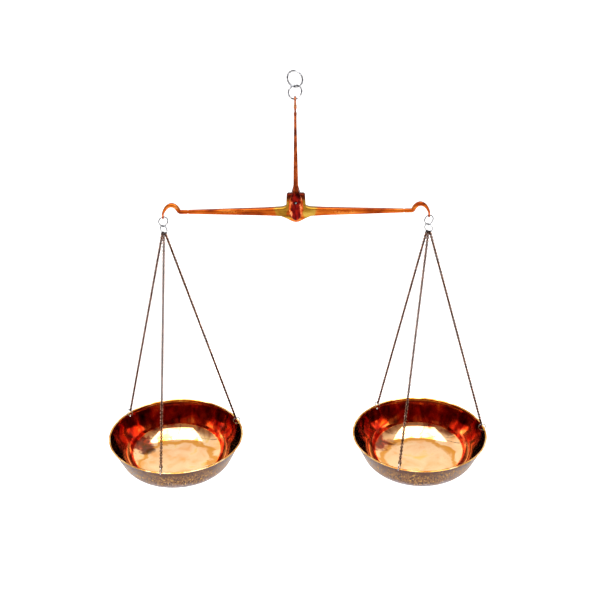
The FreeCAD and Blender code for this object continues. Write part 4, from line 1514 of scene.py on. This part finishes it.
@dataclass
class PanHanger:
    """What holds one pan: its hook link, gathering ring, three chains and three pan rings."""

    side: Side
    wires: WireShop
    links: Recipe
    steel: bpy.types.Material
    chain_finish: bpy.types.Material
    fine_wire: bpy.types.Material
    link_wire: float = 0.9 * MM
    link_top_radius: float = 3.6 * MM
    link_height: float = 8.1 * MM
    link_tip_radius: float = 1.35 * MM
    link_turn: float = 22.0
    gather_radius: float = 3.4 * MM
    gather_wire: float = 0.9 * MM
    gather_turn: float = -38.0
    chain_spread: float = 27.0
    loop_radius: float = 1.15 * MM
    loop_wire: float = 0.7 * MM
    ring_radius: float = 2.85 * MM
    ring_wire: float = 0.8 * MM
    ring_above_hole: float = 3.18 * MM
    wire_gap: float = 0.09 * MM
    oval_length: float = 3.0 * MM       # outside, of one chain link
    oval_width: float = 2.5 * MM
    oval_wire: float = 0.78 * MM
    unrest: float = 0.14                # radians a link may lie off its quarter turn

    def build(self) -> None:
        """Build and dress everything between the hook eye and the pan."""
        self.build_hook_link()
        name = self.side.word
        centre = joint_at(name + "_pan_swing")
        gather = self.wires.ring(
            name + "_gather_ring_bent_wire", centre, turned(self.gather_turn + 90), self.gather_radius,
            self.gather_wire, self.steel, 62.0 * self.side.value,
        )
        report(gather, name + "_gather", [name + "_gather_ring"])
        for place in ChainPlace:
            self.build_chain(place, centre)

    def build_hook_link(self) -> None:
        """Bend the pear-shaped link: round at the top, narrow at the foot."""
        name = self.side.word
        middle = box_middle(name + "_hook_link")
        way = turned(self.link_turn)
        top_z = middle.z + self.link_height / 2 - self.link_top_radius
        foot_z = middle.z - self.link_height / 2 + self.link_tip_radius
        lean = math.asin((self.link_top_radius - self.link_tip_radius) / (top_z - foot_z))
        base = Vector((middle.x, middle.y, 0.0))
        path = []
        arcs = (
            (self.link_top_radius, top_z, -lean, math.pi + lean, 40),
            (self.link_tip_radius, foot_z, math.pi + lean, FULL_TURN - lean, 20),
        )
        for radius, z, begin, end, steps in arcs:
            for i in range(steps + 1):
                a = begin + (end - begin) * i / steps
                path.append(base + way * (radius * math.cos(a)) + UP * (z + radius * math.sin(a)))
        # the ends meet at the top of the straight side
        gap = (path[0] - path[-1]).normalized() * self.wires.JOINT
        path.append(path[0] - gap)
        link = self.wires.bend(name + "_hook_link_bent_wire", path, self.link_wire, self.steel)
        report(link, name + "_link", [name + "_hook_link"])

    def build_chain(self, place: ChainPlace, centre: Vector) -> None:
        """Link one chain from the gathering ring down to its pan ring.

        Args:
            place: Which of the three chains.
            centre: The gathering ring's middle.
        """
        name = self.side.word
        along = turned(self.gather_turn)
        a = math.radians(place.value * self.chain_spread)
        seat = centre + (along * math.sin(a) - UP * math.cos(a)) * self.gather_radius
        seat_way = along * math.cos(a) + UP * math.sin(a)

        ring_node = "%s_pan_ring_%s" % (name, place.word)
        ring_centre = box_middle(ring_node)
        pan_middle = box_middle(name + "_pan")
        outward = (ring_centre - pan_middle) * LEVEL
        normal = UP.cross(outward).normalized()
        up = (seat - ring_centre + UP * self.ring_above_hole).normalized()
        pull = (up - normal * up.dot(normal)).normalized()

        top_hang = (self.gather_wire + self.loop_wire) / 2 + self.wire_gap
        top_loop = seat + up * (top_hang - self.loop_radius)
        low_hang = (self.ring_wire + self.loop_wire) / 2 + self.wire_gap
        low_loop = ring_centre + pull * self.ring_radius + up * (self.loop_radius - low_hang)
        loops = [
            self.wires.ring("loop", top_loop, seat_way - up * seat_way.dot(up), self.loop_radius,
                            self.loop_wire, self.chain_finish, 35.0, 28, 10),
            self.wires.ring("loop", low_loop, normal.cross(up), self.loop_radius, self.loop_wire,
                            self.chain_finish, 145.0, 28, 10),
        ]
        # the first and last links pass through the loops
        bite = self.loop_radius - (self.loop_wire + self.oval_wire) / 2
        reach = (self.oval_length - self.oval_wire) / 2
        first = top_loop - up * (bite + reach)
        last = low_loop + up * (bite + reach)
        pitch = self.oval_length - 2 * self.oval_wire
        count = round((first - last).length / pitch) + 1
        node = "%s_chain_%s" % (name, place.word)
        chain = self.links.grow(node + "_linked", {
            "First": first, "Last": last, "Count": count, "Half Length": reach,
            "Half Width": (self.oval_width - self.oval_wire) / 2, "Wire": self.oval_wire / 2,
            "Unrest": self.unrest, "Seed": 11 + place.value + 7 * self.side.value,
            "Finish": self.chain_finish,
        })
        self.gather_up(chain, loops)
        report(chain, name + "_pan_set", [node])

        pan_ring = self.wires.ring(
            ring_node + "_bent_wire", ring_centre, normal, self.ring_radius, self.ring_wire, self.fine_wire,
            100.0, 48, 12,
        )
        report(pan_ring, name + "_pan_set", [ring_node])

    def gather_up(self, chain: bpy.types.Object, loops: Iterable[bpy.types.Object]) -> None:
        """Add the end loops' meshes to the chain's, remove the loops and dress the whole chain."""
        shape = bmesh.new()
        shape.from_mesh(chain.data)
        for loop in loops:
            shape.from_mesh(loop.data)
            bpy.data.objects.remove(loop)
        bmesh.ops.recalc_face_normals(shape, faces=shape.faces)
        for face in shape.faces:
            face.material_index = 0
        shape.to_mesh(chain.data)
        shape.free()
        dress(chain, self.chain_finish)


@dataclass
class ScalePan:
    """One hand-spun brass pan with its lip and three ring holes."""

    side: Side
    recipe: Recipe
    inside: bpy.types.Material
    outside: bpy.types.Material
    rim_radius: float = 55.8 * MM
    depth: float = 28.5 * MM
    side_angle: float = math.radians(65.0)
    corner_radius: float = 18.0 * MM
    wall: float = 1.0 * MM
    lip_thickness: float = 1.4 * MM
    lip_height: float = 1.1 * MM
    hole_radius: float = 0.95 * MM
    hole_drop: float = 2.6 * MM
    around: int = 168
    lip_crest: float = 0.42 * MM        # height of the lip's rounded top
    # (share of the way out over the lip's step, rise from the lip's lower edge)
    lip_turn: tuple[tuple[float, float], ...] = ((0.0, -0.05 * MM), (0.8, 0.02 * MM), (1.0, 0.12 * MM))
    lip_clear: float = 0.2 * MM         # the wall's rows stop this far short of the lip
    crest_clear: float = 0.1 * MM
    dent: float = 0.16 * MM             # how far hand spinning leaves the wall off true
    # (waves round the rim, share, shift with the side, shift with the height in radians a metre)
    dents: tuple[tuple[int, float, float, float], ...] = (
        (2, 1.0, 1.0, 0.0), (3, 0.6, -2.1, 60.0), (5, 0.35, 3.3, -110.0), (9, 0.2, 5.0, 190.0),
    )

    def skin(self, corner: float, depth: float, reach: float) -> list[tuple[float, float]]:
        """One face of the wall from the floor's middle up to the rim.

        Args:
            corner: Radius between the floor and the side.
            depth: The face's depth under the rim.
            reach: The face's radius at the rim.

        Returns:
            (radius, height under the rim) points.
        """
        a = self.side_angle
        side_height = depth - corner * (1 - math.cos(a))
        floor = reach - side_height / math.tan(a) - corner * math.sin(a)
        points = [(floor * i / 8, -depth) for i in range(9)]
        steps = 22
        for i in range(1, steps + 1):
            t = a * i / steps
            points.append((floor + corner * math.sin(t), corner * (1 - math.cos(t)) - depth))
        low = points[-1]
        steps = 10
        for i in range(1, steps):
            share = i / steps
            points.append((low[0] + (reach - low[0]) * share, low[1] * (1 - share)))
        return points

    def half_section(self) -> list[tuple[float, float]]:
        """The pan's half section, from the outside of the floor round the lip to its inside."""
        sine, tangent = math.sin(self.side_angle), math.tan(self.side_angle)
        wall = self.wall / sine
        lip = self.lip_thickness / sine
        reach = self.rim_radius - (lip - wall)
        outer = self.skin(self.corner_radius, self.depth, reach)
        inner = self.skin(self.corner_radius - self.wall, self.depth - self.wall, reach - wall)
        outer = [p for p in outer if p[1] < -self.lip_height - self.lip_clear]
        foot = reach - self.lip_height / tangent
        step = self.rim_radius - reach
        # the lip stands out from the wall and is rounded over at the top
        middle = (self.rim_radius + reach - wall) / 2
        half = (self.rim_radius - reach + wall) / 2
        crest = self.lip_crest
        lip_points = [(foot + step * share, -self.lip_height + rise) for share, rise in self.lip_turn]
        steps = 10
        for i in range(steps + 1):
            t = math.pi * i / steps
            lip_points.append((middle + half * math.cos(t), -crest + crest * math.sin(t)))
        inner = [p for p in inner if p[1] < -crest - self.crest_clear]
        return outer + lip_points + inner[::-1]

    def off_true(self, angle: float, drop: float) -> float:
        """How far the spun wall stands off true at an angle and a height, in metres."""
        seed = 0.9 if self.side is Side.LEFT else 2.3
        waves = sum(
            share * math.sin(count * angle + by_side * seed + by_height * drop)
            for count, share, by_side, by_height in self.dents
        )
        return self.dent * waves / 2

    def spin(self, name: str, centre: Vector) -> bpy.types.Object:
        """Spin the plain pan, a little off true.

        Args:
            name: The piece's name.
            centre: The middle of the rim's plane.

        Returns:
            The pan, with no holes.
        """
        section = self.half_section()
        points: list[Vector] = []
        faces: list[tuple[int, ...]] = []
        ends = (0, len(section) - 1)
        rows: list[list[int]] = []
        for r, (radius, height) in enumerate(section):
            if r in ends:
                rows.append([len(points)])
                points.append(centre + UP * height)
                continue
            rows.append(list(range(len(points), len(points) + self.around)))
            share = min(1.0, radius / (self.rim_radius * 0.6))
            calm = min(1.0, max(0.0, -height / (4.0 * MM)))
            for i in range(self.around):
                a = FULL_TURN * i / self.around
                off = self.off_true(a, height) * share * calm
                out = radius + off * 0.5 - abs(off) * 0.1
                up = height + max(0.0, off) * 0.6 * calm
                points.append(centre + turned(math.degrees(a)) * out + UP * up)
        for upper, lower in zip(rows, rows[1:]):
            for i in range(self.around):
                j = (i + 1) % self.around
                quad = [row[k % len(row)] for row, k in ((upper, i), (upper, j), (lower, j), (lower, i))]
                faces.append(tuple(dict.fromkeys(quad)))
        mesh = bpy.data.meshes.new(name)
        mesh.from_pydata(points, [], faces)
        pan = make_object(name, mesh)
        tidy_surface(pan, 40.0)
        return pan

    def build(self) -> None:
        """Spin the pan, drill it and dress both faces."""
        name = self.side.word
        _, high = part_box(name + "_pan")
        middle = box_middle(name + "_pan")
        centre = Vector((middle.x, middle.y, high.z))
        pan = self.spin(name + "_pan_spun", centre)
        ring_way = (box_middle(name + "_pan_ring_right") - centre) * LEVEL
        self.recipe.grow(pan.name, {
            "Middle": centre - UP * self.hole_drop, "Reach": ring_way.length,
            "First Angle": math.atan2(ring_way.y, ring_way.x), "Radius": self.hole_radius,
            "Depth": self.wall * 6, "Finish": self.outside, "Inner Finish": self.inside,
        }, pan)
        tidy_surface(pan, 40.0)
        report(pan, name + "_pan_set", [name + "_pan"])


@dataclass
class Studio:
    """A white paper floor, one large softbox, a plain bright room and the camera."""

    floor_z: float = -0.78
    floor_size: float = 80.0
    camera_place: Vector = Vector((0.0026, -0.8987, 0.2830))
    camera_pitch: float = 62.44         # degrees from looking straight down
    camera_roll: float = -0.38
    lens: float = 77.1
    sensor: float = 36.0
    softbox_place: Vector = Vector((0.0, -0.5, 0.8))
    softbox_aim: Vector = Vector((0.0, 0.0, -0.33))
    softbox_size: tuple[float, float] = (1.9, 1.9)
    softbox_watts: float = 46.0
    white: str = "#FFFFFF"
    room_front: str = "#A08878"
    room_overhead: str = "#E8E8EC"
    room_strength: float = 1.25

    def build(self) -> None:
        """Build the floor, the softbox, the room and the camera."""
        half = self.floor_size / 2
        mesh = bpy.data.meshes.new("paper_floor")
        corners = [(-half, -half), (half, -half), (half, half), (-half, half)]
        mesh.from_pydata([Vector((x, y, self.floor_z)) for x, y in corners], [], [(0, 1, 2, 3)])
        floor = make_object("paper_floor", mesh)
        mesh.materials.append(PaperFloor().build())
        floor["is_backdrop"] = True
        self.softbox("overhead_softbox")
        self.sky()
        self.camera()
        bpy.context.scene.view_settings.view_transform = "Standard"

    def softbox(self, name: str) -> None:
        """Hang the softbox over the balance, facing the pans."""
        light = bpy.data.lights.new(name, "AREA")
        light.shape = "RECTANGLE"
        light.size, light.size_y = self.softbox_size
        light.energy = self.softbox_watts
        lamp = bpy.data.objects.new(name, light)
        lamp.location = self.softbox_place
        lamp.rotation_euler = (self.softbox_aim - self.softbox_place).to_track_quat("-Z", "Y").to_euler()
        bpy.context.scene.collection.objects.link(lamp)

    def sky(self) -> None:
        """Surround the balance: bright behind and above, a dim warm room in front."""
        world = bpy.data.worlds.new("studio")
        bpy.context.scene.world = world
        world.use_nodes = True
        tree = world.node_tree
        tree.nodes.clear()
        way = add_node(tree, "ShaderNodeTexCoord").outputs["Generated"]
        parts = add_node(tree, "ShaderNodeSeparateXYZ", {0: way})

        def rising(axis: str, low: float, high: float) -> bpy.types.NodeSocket:
            """0 below one height or depth of the room, 1 above another."""
            return add_node(tree, "ShaderNodeMapRange", {
                0: parts.outputs[axis], 1: low, 2: high, 3: 0.0, 4: 1.0,
            }, interpolation_type="SMOOTHSTEP").outputs[0]

        def mixed(factor: SocketValue, first: SocketValue, second: SocketValue) -> bpy.types.NodeSocket:
            """Two colours mixed by a factor."""
            return add_node(tree, "ShaderNodeMix", {
                0: factor, 6: first, 7: second,
            }, data_type="RGBA").outputs[2]

        white = linear(self.white)
        from_front = rising("Y", -0.45, 0.3)
        overhead = rising("Z", 0.45, 0.85)
        around = mixed(from_front, linear(self.room_front), white)
        whole = mixed(overhead, around, linear(self.room_overhead))
        # the metal reflects the room, but the background itself is plain white from every side
        seen = add_node(tree, "ShaderNodeLightPath").outputs["Is Camera Ray"]
        shown = mixed(seen, whole, white)
        glow = add_node(tree, "ShaderNodeBackground", {"Color": shown, "Strength": self.room_strength})
        add_node(tree, "ShaderNodeOutputWorld", {"Surface": glow.outputs[0]})

    def camera(self) -> None:
        """Set up the camera in front, looking down on the pans."""
        lens = bpy.data.cameras.new("camera")
        lens.lens = self.lens
        lens.sensor_width = self.sensor
        lens.clip_start, lens.clip_end = 0.01, 100.0
        view = bpy.data.objects.new("camera", lens)
        pitch = Matrix.Rotation(math.radians(self.camera_pitch), 4, "X")
        roll = Matrix.Rotation(math.radians(self.camera_roll), 4, "Z")
        view.matrix_world = Matrix.Translation(self.camera_place) @ pitch @ roll
        bpy.context.scene.collection.objects.link(view)
        bpy.context.scene.camera = view


def main() -> None:
    """Build the sub-assemblies in order, then the studio, and work out the model's box."""
    logging.basicConfig(level=logging.INFO, format="%(message)s")
    cast = CastBrass().build()
    cheek = CheekBrass().build()
    turned_finish = TurnedBrass().build()
    steel = Steel("drawn_steel_wire").build()
    fine_wire = Steel("fine_drawn_steel_wire", patch=1.1 * MM).build()
    knife_steel = Steel("ground_knife_steel", stretch=(1.0, 0.08, 1.0)).build()
    chain_finish = ChainBrass().build()
    wires = WireShop()
    Suspension(wires, steel).build()
    Shears(wires, cheek, turned_finish).build()
    BalanceBeam(wires, cast, knife_steel).build()
    links = chain_recipe()
    drilling = pan_recipe()
    for side in Side:
        PanHanger(side, wires, links, steel, chain_finish, fine_wire).build()
        _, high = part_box(side.word + "_pan")
        middle = box_middle(side.word + "_pan")
        inside = SpunBrassInside(side, middle, high.z).build()
        outside = SpunBrassOutside(side, high.z).build()
        ScalePan(side, drilling, inside, outside).build()
    Studio().build()
    low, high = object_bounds()


if __name__ == "__main__":
    main()
